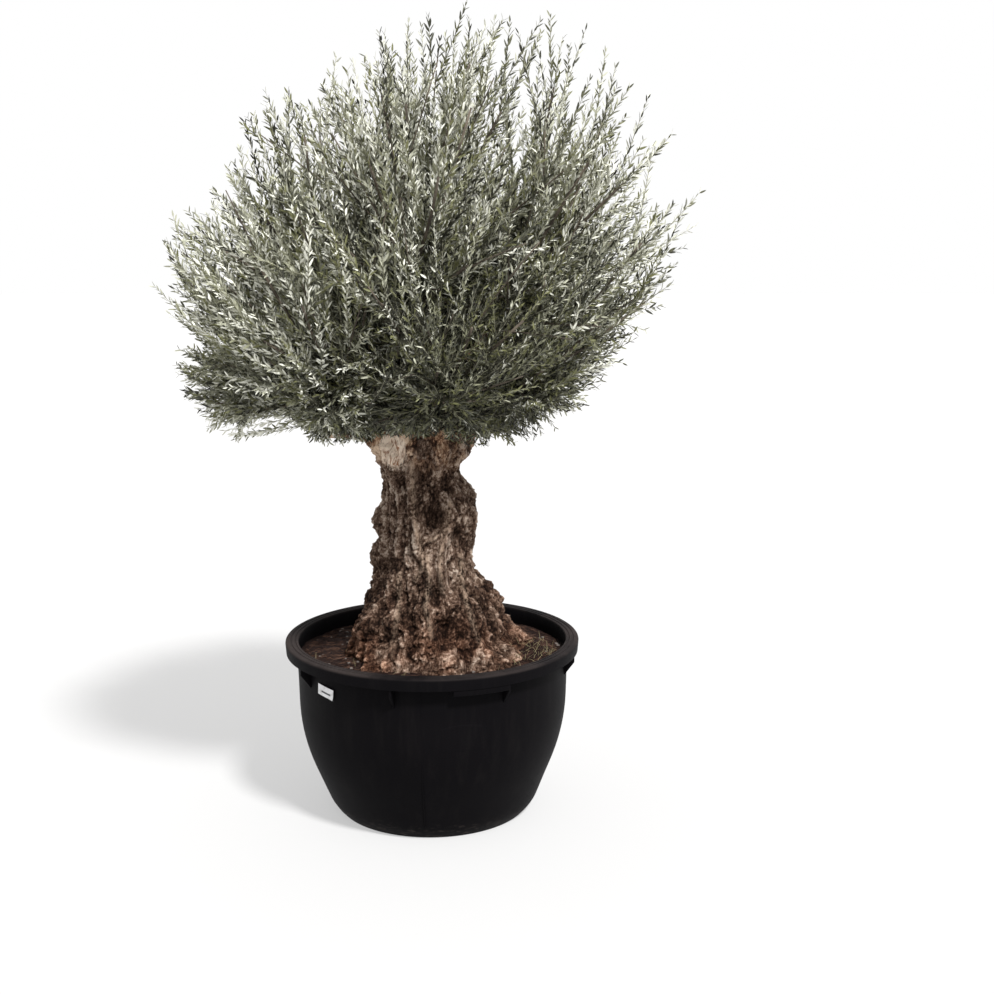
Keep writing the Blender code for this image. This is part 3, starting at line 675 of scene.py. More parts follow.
grass_verts, grass_faces = strand_arrays(np.array(grass_paths), np.array(grass_radii))
straw = Finish("dry_grass")
color, tone = straw.two_tone(24.0, (0.12, 0.11, 0.045), (0.28, 0.22, 0.125))
straw.paint(color, 0.7 + 0.1 * tone)
dress(joined_mesh("dry_grass", grass_verts, grass_faces), straw)

# ---- Trunk ----
# One thick old trunk of living wood under knobbly grey bark. It flares into root lobes at the soil,
# is hollowed and ridged in front, and widens into a domed head where the boughs leave.

# Height, then the trunk's reach to the left, right, front and back of the pot's axis.
TRUNK_SECTIONS = (
    (0.655, 0.345, 0.430, 0.380, 0.345),
    (0.720, 0.318, 0.350, 0.325, 0.305),
    (0.800, 0.294, 0.295, 0.275, 0.270),
    (0.900, 0.262, 0.240, 0.240, 0.240),
    (1.000, 0.222, 0.170, 0.215, 0.215),
    (1.100, 0.202, 0.166, 0.200, 0.200),
    (1.200, 0.190, 0.190, 0.190, 0.195),
    (1.300, 0.188, 0.172, 0.180, 0.188),
    (1.400, 0.198, 0.118, 0.178, 0.180),
    (1.500, 0.256, 0.172, 0.200, 0.205),
    (1.560, 0.264, 0.188, 0.208, 0.212),
)
HEAD_DOME = 0.150
# Burls and hollows: angle from +X, height, how far they stand out, and how wide they spread.
TRUNK_LUMPS = (
    (180, 1.206, 0.042, 0.050),
    (184, 1.062, 0.038, 0.052),
    (2, 0.900, 0.022, 0.075),
    (318, 1.235, 0.020, 0.070),
    (236, 1.440, 0.026, 0.055),
    (300, 0.860, 0.030, 0.070),
    (222, 0.790, 0.036, 0.075),
    (75, 1.170, 0.034, 0.065),
    (128, 0.960, 0.036, 0.070),
    (40, 1.470, 0.030, 0.055),
    (100, 1.340, -0.035, 0.060),
    (345, 0.760, -0.030, 0.065),
    (200, 0.900, -0.028, 0.055),
)
# Flutes that run up the trunk: how many round it, their depth, twist per metre and phase.
TRUNK_FLUTES = ((5, 0.035, 1.6, 0.4), (8, 0.030, -1.9, 2.1), (13, 0.018, 1.2, 0.9))
ROOT_LOBES = 9
ROOT_LOBE_DEPTH = 0.055
ROOT_LOBE_HEIGHT = 0.17
ROOT_LOBE_PHASE = 1.0
HEAD = Vector((-0.040, 0.0, 1.580))
UP = Vector((0.0, 0.0, 1.0))
TRUNK_ROUND = 300
TRUNK_RISE = 300
TRUNK_SINK = 0.030
DOME_SHARE = 0.16  # of the grid's rows
# Strands between creases: how many to a metre round the trunk and up it, and their depth.
STRANDS = ((12.0, 3.4, 0.034), (24.0, 8.0, 0.014))
STRAND_WARP = (4.0, 0.050)  # how often the strands wander, and how far
STRAND_SEED = 5  # of that wandering
STRAND_SHIFT = 9.0  # apart in the noise, from one size of strand to the next
STRAND_ROUNDNESS = 1.9
STRAND_MIDDLE = 0.45  # the crest's share that lies level with the trunk
# Pale sinews on the front: half width, how far they stand out, and their course as x and height.
SINEWS = (
    (0.012, 0.017, ((-0.068, 1.455), (-0.060, 1.242), (-0.036, 1.131), (-0.026, 1.047), (-0.058, 0.991))),
    (0.011, 0.016, ((0.080, 1.300), (0.073, 1.214), (0.050, 1.131), (0.040, 1.047), (0.052, 0.950))),
    (0.011, 0.012, ((0.073, 1.195), (0.030, 1.165), (-0.025, 1.140))),
    (0.013, 0.013, ((-0.012, 1.090), (0.000, 1.000), (-0.015, 0.900), (0.010, 0.790))),
    (0.012, 0.013, ((0.120, 1.080), (0.128, 0.960), (0.165, 0.850), (0.200, 0.740))),
    (0.013, 0.013, ((-0.120, 1.020), (-0.125, 0.900), (-0.140, 0.780), (-0.150, 0.700))),
)
# Hollows on the front: x, height, half width, half height and depth.
HOLLOWS = (
    (0.008, 1.245, 0.050, 0.056, 0.040),
    (-0.118, 1.377, 0.026, 0.032, 0.028),
    (0.105, 1.150, 0.020, 0.060, 0.020),
    (-0.178, 1.545, 0.022, 0.026, 0.022),
    (0.055, 0.800, 0.026, 0.050, 0.020),
)
FRONT_FORMS_END = 0.05  # the sinews and hollows are on what lies in front of this
BARE_WOOD = (-0.140, 1.505, 0.056, 0.074)  # x, height, half width and half height
# The bark's relief: how many knobs and chips to a metre, how round they are, and their depth.
KNOB_WARP = (17.0, 0.014)
KNOB_STRETCH = 0.75
KNOBS = 31.0
CHIPS = 74.0
KNOB_ROUNDNESS = 1.7
KNOB_DEPTH = (0.007, 0.006)  # everywhere, and as much again towards the foot
CHIP_DEPTH = 0.0060
GRAINS = 85.0
GRAIN_DEPTH = 0.0045
ROUGH_FOOT = (1.10, 0.35)  # the height where the knobs start to grow, and over what drop


def section_reach(height, column):
    """The trunk's reach on one side at this height, on a smooth curve through the sections."""
    rows = TRUNK_SECTIONS
    last = len(rows) - 1
    index = next((i for i in range(last) if height < rows[i + 1][0]), last - 1)
    before, low, high, after = (rows[min(max(index + i, 0), last)] for i in (-1, 0, 1, 2))
    span = high[0] - low[0]
    t = max(0.0, min(1.0, (height - low[0]) / span))
    rise_in = (high[column] - before[column]) / max(high[0] - before[0], span) * span
    rise_out = (after[column] - low[column]) / max(after[0] - low[0], span) * span
    start, end = low[column], high[column]
    return (
        start * (2 * t**3 - 3 * t**2 + 1)
        + rise_in * (t**3 - 2 * t**2 + t)
        + end * (3 * t**2 - 2 * t**3)
        + rise_out * (t**3 - t**2)
    )


def course_distance(x, height, course):
    """How far a point of the trunk's front is from a sinew's course."""
    nearest = 1.0
    for (x0, z0), (x1, z1) in zip(course, course[1:]):
        dx, dz = x1 - x0, z1 - z0
        t = max(0.0, min(1.0, ((x - x0) * dx + (height - z0) * dz) / (dx * dx + dz * dz)))
        nearest = min(nearest, math.hypot(x - x0 - dx * t, height - z0 - dz * t))
    return nearest


def strand_crests(place):
    """For each size of strand, how near a place is to its crest, from 0 in a crease."""
    scale, reach = STRAND_WARP
    bent = place + noise.noise_vector(place * scale) * reach
    found = []
    for number, (round_it, up_it, _) in enumerate(STRANDS):
        spot = Vector((bent.x * round_it + STRAND_SHIFT * number, bent.y * round_it, bent.z * up_it))
        found.append(min(1.0, abs(noise.noise(spot)) * STRAND_ROUNDNESS))
    return found


def front_forms(place):
    """How far sinews stand out and hollows go in on the front, and how near each kind is."""
    sinew = hollow = out = 0.0
    if place.y < FRONT_FORMS_END:
        for width, stand_out, course in SINEWS:
            near = math.exp(-((course_distance(place.x, place.z, course) / width) ** 2))
            out += stand_out * near
            sinew = max(sinew, near)
        for x, middle, half_width, half_height, depth in HOLLOWS:
            away = math.hypot((place.x - x) / half_width, (place.z - middle) / half_height)
            near = math.exp(-(away**4))
            out -= depth * near
            hollow = max(hollow, near)
    return out, sinew, hollow


def trunk_radius(angle, height):
    """The trunk's radius about the pot's axis: an uneven oval with flutes, lobes, lumps and strands."""
    cosine, sine = math.cos(angle), math.sin(angle)
    across = section_reach(height, 2 if cosine > 0 else 1)
    along = section_reach(height, 4 if sine > 0 else 3)
    radius = 1 / math.hypot(cosine / across, sine / along)
    relief = 0.0
    for count, depth, twist, phase in TRUNK_FLUTES:
        relief += depth * math.cos(count * (angle + twist * height) + phase)
    rise = max(0.0, 1 - (height - SOIL_LEVEL) / ROOT_LOBE_HEIGHT)
    relief += ROOT_LOBE_DEPTH * rise * math.cos(ROOT_LOBES * angle + ROOT_LOBE_PHASE)
    radius *= 1 + relief
    for lump_angle, lump_height, stand_out, spread in TRUNK_LUMPS:
        turn = math.remainder(angle - math.radians(lump_angle), math.tau) * radius
        distance = math.hypot(turn, height - lump_height) / spread
        radius += stand_out * math.exp(-(distance**3))
    place = Vector((radius * cosine, radius * sine, height))
    for crest, (_, _, depth) in zip(strand_crests(place), STRANDS):
        radius += depth * (crest - STRAND_MIDDLE)
    return radius + front_forms(place)[0]


def knob_crest(place, scale):
    """How near a place is to the middle of a knob of bark, from 0 in the cracks between them."""
    nearest, next_nearest = noise.voronoi(place * scale)[0][:2]
    return min(1.0, (next_nearest - nearest) * KNOB_ROUNDNESS)


def bark_relief(place):
    """How far the bark's plates stand out at a place, with a 0 to 1 share of crest for painted shade and
    light.
    """
    coarse, fine = strand_crests(place)
    scale, reach = KNOB_WARP
    bent = place + noise.noise_vector(place * scale) * reach
    bent.z *= KNOB_STRETCH
    knobs = knob_crest(bent, KNOBS)
    chips = knob_crest(bent, CHIPS)
    grains = noise.fractal(place * GRAINS, 0.8, 2.0, 3)
    rough_height, rough_drop = ROUGH_FOOT
    low = max(0.0, min(1.0, (rough_height - place.z) / rough_drop))
    depth, added = KNOB_DEPTH
    out = (depth + added * low) * (knobs - 0.5) + CHIP_DEPTH * (chips - 0.5) + GRAIN_DEPTH * grains
    crest = 0.25 * coarse + 0.22 * fine + 0.26 * knobs + 0.22 * chips + 0.20 * grains
    return out, max(0.0, min(1.0, crest * 1.25))


noise.seed_set(STRAND_SEED)
trunk = bmesh.new()
bmesh.ops.create_grid(trunk, x_segments=TRUNK_ROUND, y_segments=TRUNK_RISE, size=0.5)
shoulder = TRUNK_SECTIONS[-1][0]
foot = SOIL_LEVEL - TRUNK_SINK
crest_shade_layer = trunk.verts.layers.float.new("crest")
pale_layer = trunk.verts.layers.float.new("pale")
bare_layer = trunk.verts.layers.float.new("bare")
for vert in trunk.verts:
    across, up = vert.co.x + 0.5, vert.co.y + 0.5
    angle = across * math.tau
    if up < 1 - DOME_SHARE:
        share = 1.0
        height = foot + (shoulder - foot) * up / (1 - DOME_SHARE)
        rise = height
    else:
        turn = (up - 1 + DOME_SHARE) / DOME_SHARE * math.pi / 2
        share = math.cos(turn)
        height = shoulder
        rise = shoulder + HEAD_DOME * math.sin(turn)
    reach = trunk_radius(angle, height) * share
    place = Vector((HEAD.x * (1 - share) + reach * math.cos(angle), reach * math.sin(angle), rise))
    out, crest = bark_relief(place)
    _, sinew, hollow = front_forms(place) if share == 1.0 else (0.0, 0.0, 0.0)
    x, middle, half_width, half_height = BARE_WOOD
    away = math.hypot((place.x - x) / half_width, (place.z - middle) / half_height)
    bare = math.exp(-(away**4)) if place.y < 0.0 else 0.0
    out *= 1 - 0.5 * max(sinew, bare)
    # Painted shade: the hollows are made darker in the bark's colour.
    crest *= 1 - 0.50 * hollow
    way = Vector((math.cos(angle) * share, math.sin(angle) * share, 1 - share)).normalized()
    vert.co = place + way * out * min(1.0, 0.25 + share)
    vert[crest_shade_layer] = crest
    vert[pale_layer] = sinew
    vert[bare_layer] = bare
bmesh.ops.remove_doubles(trunk, verts=trunk.verts, dist=1e-5)
bmesh.ops.holes_fill(trunk, edges=[edge for edge in trunk.edges if edge.is_boundary], sides=0)
bmesh.ops.recalc_face_normals(trunk, faces=trunk.faces)

bark = Finish("old_bark")
# The crest share paints shade and light into the bark: dark in its cracks and hollows, pale on its crests.
crest = bark.attribute("crest")
pale = bark.attribute("pale")
_, _, height_up = bark.axes()
fine = bark.noise(100.0, 7.0, 0.75, bark.scaled((1.0, 1.0, 0.45)))
flecks = bark.noise(230.0, 5.0, 0.8, bark.scaled((1.0, 1.0, 0.6)))
patches = bark.noise(5.5, 3.0, 0.6)
low = 1 - bark.mask(height_up, 0.66, 1.02)
high = bark.mask(height_up, 1.36, 1.56)
knots = bark.noise(20.0, 4.0, 0.6, bark.scaled((1.0, 1.0, 0.5)))
level = crest * 0.56 + fine * 1.00 + flecks * 0.85 + knots * 0.65 - 0.955 + high * 0.05
level = level - 0.10 * bark.mask(height_up, 0.70, 0.80) * (1 - bark.mask(height_up, 0.90, 1.10))
level = level - 0.05 * low
grey = bark.ramp(
    level,
    (0.20, (0.0050, 0.0026, 0.0018)),
    (0.36, (0.0230, 0.0125, 0.0082)),
    (0.50, (0.0800, 0.0480, 0.0330)),
    (0.64, (0.2100, 0.1430, 0.1050)),
    (0.80, (0.5200, 0.4200, 0.3400)),
)
rusty = bark.mix(0.75, grey, (1.0, 0.66, 0.50), "MULTIPLY")
cracks = bark.noise(24.0, 6.0, 0.7, bark.scaled((1.0, 1.0, 0.55)), 0.8)
tan = bark.ramp(
    level * 0.55 + cracks * 1.9 - 0.76,
    (0.32, (0.0170, 0.0080, 0.0055)),
    (0.45, (0.1300, 0.0630, 0.0370)),
    (0.60, (0.4600, 0.2750, 0.1650)),
    (0.80, (0.9000, 0.6800, 0.4900)),
)
body = bark.mix(low * bark.mask(patches, 0.30, 0.62), grey, rusty)
body = bark.mix(high * bark.mask(bark.noise(9.0, 3.0), 0.38, 0.56), body, tan)
pale_share = pale * pale * (0.72 - 0.60 * low) * bark.mask(fine + crest * 0.3, 0.50, 0.72)
body = bark.mix(pale_share, body, (0.420, 0.310, 0.225))
bare = bark.mask(bark.attribute("bare") + fine * 1.8, 1.15, 1.60)
wood_grain = bark.mask(bark.noise(45.0, 6.0, 0.75, bark.scaled((1.0, 1.0, 0.35)), 0.6), 0.38, 0.52)
cream = bark.mix(wood_grain, (0.360, 0.180, 0.100), (1.000, 0.840, 0.680))
bark_color = bark.mix(bare, body, cream)
bark.paint(
    bark_color, 0.92 - 0.18 * crest, height=fine + flecks * 0.45, depth=0.014, Specular_IOR_Level=0.06
)
make_piece("trunk_bark", trunk, bark, ("trunk",), sharp=180.0)

# ---- Boughs ----
# Thirteen grey limbs leave the head of the trunk and taper out along their masses of foliage. They
# are smoother than the trunk, with a swollen collar where each one leaves it.

# The crown's reach from the head by elevation in degrees, on its right, left, and front and back.
RIGHT_REACH = ((-22, 0.30), (-8, 0.56), (6, 0.64), (18, 0.84), (30, 1.24), (42, 1.47), (54, 1.63), (90, 1.66))
LEFT_REACH = ((-22, 0.34), (-8, 0.86), (6, 0.93), (18, 1.04), (36, 1.27), (54, 1.30), (66, 1.46), (90, 1.66))
DEPTH_REACH = ((-22, 0.26), (-8, 0.36), (6, 0.56), (18, 0.82), (30, 1.06), (45, 1.28), (60, 1.46), (90, 1.66))
# Rings of masses: their names by place, elevation and first angle from +X.
TOP_RING = (("top",), 87.0, 20.0)
UPPER_RING = (("right", "back", "left", "front"), 54.0, 0.0)
LOWER_RING = (
    ("left", "left_front", "front", "right_front", "right_back", "back", "left_back"),
    21.0,
    180.0,
)
LOW_CLUMP = (("low_left",), -4.0, 187.0)
BOUGH_LENGTH = {"top": 0.46, "upper": 0.46, "lower": 0.39, "clump": 0.40}
BOUGH_BASE_RADIUS = 0.040
BOUGH_TIP_RADIUS = 0.019
BOUGH_BOW = 0.018
BOUGH_BENT_SHARE = 0.75
BOUGH_START = 0.060
BOUGH_RINGS = 44
BOUGH_SIDES = 28
BOUGH_SEED = 40
COLLAR = (0.55, 0.42)  # how much thicker a bough is where it leaves the trunk, and up to where
BOUGH_KNOBS = ((26.0, 0.20), (70.0, 0.09))


def direction(azimuth, elevation):
    azimuth, elevation = math.radians(azimuth), math.radians(elevation)
    flat = math.cos(elevation)
    return Vector((flat * math.cos(azimuth), flat * math.sin(azimuth), math.sin(elevation)))


def masses():
    """Name, kind and axis of every mass of foliage."""
    found = []
    rings = ((TOP_RING, "top"), (UPPER_RING, "upper"), (LOWER_RING, "lower"), (LOW_CLUMP, "clump"))
    for (names, elevation, first), kind in rings:
        for index, name in enumerate(names):
            label = name if kind in ("top", "clump") else f"{kind}_{name}"
            found.append((label, kind, direction(first + index * 360 / len(names), elevation)))
    return found


def turned_side(axis, turn):
    side = axis.orthogonal().normalized()
    side.rotate(Matrix.Rotation(turn, 3, axis))
    return side


def bough_place(axis, side, length, t):
    """The middle of a bough at this share of its length, bowed a little to one side."""
    along = BOUGH_START + (length - BOUGH_START) * t
    bow = BOUGH_BOW * math.sin(math.pi * min(1.0, t / BOUGH_BENT_SHARE))
    return HEAD + axis * along + side * bow


crown = masses()
swelling, swollen = COLLAR
boughs = bmesh.new()
bough_crest_shade = boughs.verts.layers.float.new("crest")
for index, (label, kind, axis) in enumerate(crown):
    side = turned_side(axis, random.Random(BOUGH_SEED + index).uniform(0, math.tau))
    cross = axis.cross(side)
    ring = bmesh.ops.create_circle(boughs, segments=BOUGH_SIDES, radius=1.0, cap_ends=True)["verts"]
    turns = {vert: math.atan2(vert.co.y, vert.co.x) for vert in ring}
    for step in range(BOUGH_RINGS):
        if step:
            edges = {edge for vert in ring for edge in vert.link_edges if all(v in turns for v in edge.verts)}
            grown = bmesh.ops.extrude_edge_only(boughs, edges=list(edges))["geom"]
            new_ring = [item for item in grown if isinstance(item, bmesh.types.BMVert)]
            turns = {vert: turns[min(ring, key=lambda old: (old.co - vert.co).length)] for vert in new_ring}
            ring = new_ring
        t = step / (BOUGH_RINGS - 1)
        middle = bough_place(axis, side, BOUGH_LENGTH[kind], t)
        radius = BOUGH_BASE_RADIUS + (BOUGH_TIP_RADIUS - BOUGH_BASE_RADIUS) * t
        radius *= 1 + swelling * max(0.0, 1 - t / swollen) ** 2
        for vert in ring:
            way = side * math.cos(turns[vert]) + cross * math.sin(turns[vert])
            place = middle + way * radius
            rough = sum(noise.noise(place * scale) * share for scale, share in BOUGH_KNOBS)
            vert.co = middle + way * radius * (1 + rough)
            # Painted shade and light: the bark's colour is darker where the bough dips and paler where it
            # swells.
            vert[bough_crest_shade] = 0.5 + rough * 1.6
    bmesh.ops.contextual_create(boughs, geom=ring)
bmesh.ops.recalc_face_normals(boughs, faces=boughs.faces)
make_piece("boughs", boughs, bark, [f"bough_{label}" for label, _, _ in crown], sharp=70.0)

# ---- Twigs ----
# Each bough runs on as a stem that forks into long branches, and every branch is set with straight
# grey-green shoots that point up and outwards. They follow one seeded rule, mass by mass.

GOLDEN_ANGLE = math.radians(137.508)
GAP = 0.0003
CELL_MARGIN = 0.006
REACH_ALLOWANCE = 1.02
BOUGH_CLEARANCE = 0.080
STEM_RADIUS = 0.015
STEM_SHARE = 0.62
STEM_LEAST = 0.12
BRANCHES = 8
BRANCH_RADIUS = 0.0085
TWIG_TIP_RADIUS = 0.0045
FAN_ANGLE = math.radians(27.0)
FAN_TRIES = 12
FAN_DRAW_IN = 0.88
BRANCH_ROOTS = (0.08, 0.95)
BRANCH_STEPS = 6
TIP_UNEVENNESS = 0.10
TIP_STEPS = 3  # branches end at the full reach, halfway and drawn in, in turn
SIDE_SPRAYS = 3
SIDE_SPRAY_PLACES = (0.20, 0.88)
SPRAY_LENGTH = 0.270
SPRAY_SIZES = (0.75, 1.10)
SPRAY_FORWARD = 0.80
SPRAY_SPREAD = (0.42, 0.72)
SPRAY_LIFT = 0.22
TIP_SPRAY_SHARE = 0.85
BRANCH_AND_SPRAY_LEAST = 1.25
MASS_SEED = 70
FINE_SEED = 700
# The foliage's own edge inside that reach: how far it goes by elevation on its left, and how low it
# hangs by distance from the head on its right, left, and front and back.
LEFT_EDGE = (
    *((-22, 0.36), (-8, 0.88), (6, 0.92), (14, 1.02), (22, 0.96), (28, 1.16), (34, 1.26)),
    *((44, 1.22), (54, 1.25), (62, 1.42), (72, 1.38), (82, 1.58), (90, 1.62)),
)
BRANCH_ABOVE_FLOOR = 0.06
ROOT_BELOW_LEAVES = 0.05
# Creases part the foliage into smaller masses, and it opens towards the front: how many creases there
# are round the head, their depth, and the opening's way, spread and depth.
CREASES = 4.2
CREASE_SHARPNESS = 2.4
CREASE_DEPTH = 0.22
OPENING = (Vector((0.25, -0.71, 0.65)), math.radians(17.0), 0.26)
RIGHT_FLOOR = ((0.20, 1.53), (0.36, 1.53), (0.52, 1.58), (0.70, 1.66), (0.85, 1.83), (1.00, 2.00))
LEFT_FLOOR = (
    *((0.20, 1.54), (0.36, 1.54), (0.44, 1.58), (0.50, 1.75), (0.61, 1.77)),
    *((0.68, 1.57), (0.80, 1.54), (0.90, 1.66), (1.00, 1.82), (1.06, 1.95)),
)
DEPTH_FLOOR = ((0.20, 1.56), (0.36, 1.56), (0.52, 1.60), (0.70, 1.70), (0.90, 1.90))
CLUMP_DROP = 0.04  # how far the low clump hangs below the rest
CLUMP_ARCH = 0.10  # how far its branches rise on their way out
# Finer growth between the main branches.
FINE_BRANCHES = 19
FINE_FAN = math.radians(44.0)
FINE_TIPS = (0.42, 0.92)
FINE_BOW = 0.02
FINE_SAG = 0.03
FINE_EDGE = 0.99  # of the reach, where the short shoots end
SHOOTS = 18
SHOOT_END = 0.98  # of the branch
SHOOT_LENGTH = (0.12, 0.27)
SHOOT_FORWARD = 0.85
SHOOT_SPREAD = (0.15, 0.85)
SHOOT_LIFT = (0.05, 0.50)
SHOOT_CURVE = 0.15
SHOOT_SHORTENING = 0.82
SHOOT_TRIES = 9
SHOOT_LEAST = 0.07
SHOOT_RADIUS = 0.0021
EDGE_MARGIN = 0.01
THINNING = 0.70  # share of the outer upper short shoots that is left out
THINNING_REACH = (0.48, 0.90)
THINNING_ELEVATION = (5.0, 40.0)
# Long straight shoots on each branch, which stand out of the rest.
WHIPS = 5
WHIP_LENGTH = (0.30, 0.56)
WHIP_SPREAD = (0.05, 0.55)
WHIP_LIFT = 0.42
WHIP_CURVE = 0.18
WHIP_EDGE = 1.045
WHIP_DROP = 0.05  # how far they hang below the rest
WHIP_CREASE_SHARE = 0.35
# Short leafy shoots off the bare part of the low boughs, round the head of the trunk.
HEAD_TWIGS = 34
HEAD_TWIG_LENGTH = (0.14, 0.30)
HEAD_TWIG_PLACES = (0.38, 1.0)


def knots_at(knots, value):
    if value <= knots[0][0]:
        return knots[0][1]
    for (low, first), (high, second) in zip(knots, knots[1:]):
        if value <= high:
            return first + (second - first) * (value - low) / (high - low)
    return knots[-1][1]


def crown_reach(way):
    """How far the crown reaches from the head in this direction."""
    elevation = math.degrees(math.asin(max(-1.0, min(1.0, way.z))))
    flat = math.hypot(way.x, way.y) or 1.0
    sideways = (way.x / flat) ** 2
    side = RIGHT_REACH if way.x > 0 else LEFT_REACH
    return knots_at(side, elevation) * sideways + knots_at(DEPTH_REACH, elevation) * (1 - sideways)


def inside_space(point, axis, others, bough_length):
    """True where a point is nearer this mass's axis than any other, in the crown and clear of the bough."""
    spoke = point - HEAD
    for other in others:
        if spoke.dot((axis - other).normalized()) < CELL_MARGIN:
            return False
    beyond = spoke.dot(axis) - bough_length
    if beyond < 0 and (spoke - axis * spoke.dot(axis)).length < BOUGH_CLEARANCE:
        return False
    return spoke.length < crown_reach(spoke.normalized()) * REACH_ALLOWANCE


def fan_direction(axis, index, phase, others, bough_length):
    """The way of one branch: spread evenly round the axis, drawn in until it is in the mass's own space."""
    side = turned_side(axis, phase + index * GOLDEN_ANGLE)
    spread = FAN_ANGLE * math.sqrt((index + 0.5) / BRANCHES)
    for _ in range(FAN_TRIES):
        way = (axis * math.cos(spread) + side * math.sin(spread)).normalized()
        room = crown_reach(way) - bough_length
        if room > SPRAY_LENGTH and inside_space(HEAD + way * crown_reach(way), axis, others, bough_length):
            return way, spread
        spread *= FAN_DRAW_IN
    return axis.copy(), 0.0


branches = []
shoots = []


def add_branch(root, tip, start_radius, end_radius, bend):
    """A branch from root to tip that sags or lifts a little on its way; returns its points."""
    points = []
    for step in range(BRANCH_STEPS + 1):
        t = step / BRANCH_STEPS
        points.append(root.lerp(tip, t) + bend * math.sin(math.pi * t))
    branches.append((points, start_radius, end_radius))
    return points


def place_along(points, t):
    """The place on a branch that is t of its steps from the root, and the branch's way there."""
    low = min(int(t), BRANCH_STEPS - 1)
    return points[low].lerp(points[low + 1], t - low), (points[low + 1] - points[low]).normalized()


def branch_tip(tip):
    """Where a branch ends: lifted to where the leaves hang, so that none shows bare below them."""
    return Vector((tip.x, tip.y, max(tip.z, foliage_floor(tip) + BRANCH_ABOVE_FLOOR)))


def crease(way):
    """How near a direction is to a crease between two smaller masses of foliage, from 0 to 1."""
    return 1 - min(1.0, abs(noise.noise(way * CREASES)) * CREASE_SHARPNESS)


def foliage_edge(way):
    """How far the leaves reach in this direction: the crown's reach with its opening and left edge."""
    middle, spread, depth = OPENING
    reach = crown_reach(way) * (1 - depth * math.exp(-((way.angle(middle) / spread) ** 2)))
    if way.x > 0:
        return reach
    flat = math.hypot(way.x, way.y) or 1.0
    edge = knots_at(LEFT_EDGE, math.degrees(math.asin(max(-1.0, min(1.0, way.z)))))
    sideways = (way.x / flat) ** 2
    return min(reach, edge * sideways + reach * (1 - sideways))


def foliage_floor(point, drop=0.0):
    """How low the leaves hang here; drop lowers it at the crown's sides."""
    across, along = point.x - HEAD.x, point.y
    flat = math.hypot(across, along) or 1.0
    sideways = (across / flat) ** 2
    side = knots_at(RIGHT_FLOOR, flat) if across > 0 else knots_at(LEFT_FLOOR, -across)
    return (side - drop) * sideways + knots_at(DEPTH_FLOOR, flat) * (1 - sideways)


def eased(value, low, high):
    t = max(0.0, min(1.0, (value - low) / (high - low)))
    return t * t * (3 - 2 * t)


def add_shoot(root, way, length, curve, allowance=1.0, creased=WHIP_CREASE_SHARE, drop=0.0):
    """A leafy shoot that curves up a little and is cut short where it would leave the crown."""
    way = way.normalized()
    for _ in range(SHOOT_TRIES):
        middle = root + way * length * 0.5
        turned = (way + UP * curve).normalized()
        tip = middle + turned * length * 0.5
        spoke = tip - HEAD
        out = spoke.normalized()
        edge = foliage_edge(out) * (allowance - CREASE_DEPTH * creased * crease(out)) - EDGE_MARGIN
        low = foliage_floor(tip, drop)
        if spoke.length < edge and min(root.z + ROOT_BELOW_LEAVES, middle.z + 0.01, tip.z - 0.02) > low:
            shoots.append((root, middle, tip))
            return
        length *= SHOOT_SHORTENING
        if length < SHOOT_LEAST:
            return


def thinned(point, chance):
    """True where a shoot is left out: the crown opens towards its upper edge."""
    spoke = point - HEAD
    way = spoke.normalized()
    outer = eased(spoke.length / foliage_edge(way), *THINNING_REACH)
    upper = eased(math.degrees(math.asin(way.z)), *THINNING_ELEVATION)
    return chance < THINNING * outer * (0.3 + 0.7 * upper)


def add_leafy_shoots(points, growth, is_clump):
    """Short shoots and long whips all along one branch; those of the low clump hang a little."""
    start_turn = growth.uniform(0, math.tau)
    for step in range(SHOOTS):
        root, heading = place_along(points, (step + growth.random()) / SHOOTS * SHOOT_END * BRANCH_STEPS)
        side = turned_side(heading, start_turn + step * GOLDEN_ANGLE)
        lean = heading * SHOOT_FORWARD + side * growth.uniform(*SHOOT_SPREAD)
        lean += UP * growth.uniform(*SHOOT_LIFT) * (-0.4 if is_clump else 1.0)
        length = growth.uniform(*SHOOT_LENGTH)
        if not thinned(root + lean * length * 0.6, growth.random()):
            drop = CLUMP_DROP if is_clump else 0.0
            add_shoot(root, lean, length, SHOOT_CURVE, FINE_EDGE, 1.0, drop)
    for step in range(WHIPS):
        root, heading = place_along(points, (step + growth.random()) / WHIPS * BRANCH_STEPS)
        side = turned_side(heading, start_turn + (step + 0.5) * GOLDEN_ANGLE)
        lean = heading + side * growth.uniform(*WHIP_SPREAD)
        lean += UP * WHIP_LIFT * (-0.1 if is_clump else 1.0)
        add_shoot(root, lean, growth.uniform(*WHIP_LENGTH), WHIP_CURVE, WHIP_EDGE, drop=WHIP_DROP)


def add_head_twigs(axis, bough_length, growth, is_clump):
    """Leafy twigs straight off a low bough, spread round it."""
    for step in range(HEAD_TWIGS):
        along = BOUGH_START + (bough_length - BOUGH_START) * growth.uniform(*HEAD_TWIG_PLACES)
        side = turned_side(axis, step * GOLDEN_ANGLE)
        lean = axis * growth.uniform(0.1, 0.9) + side * 0.9 + UP * 0.05
        length = growth.uniform(*HEAD_TWIG_LENGTH)
        add_shoot(HEAD + axis * along, lean, length, -0.1, FINE_EDGE, 1.0, CLUMP_DROP if is_clump else 0.0)


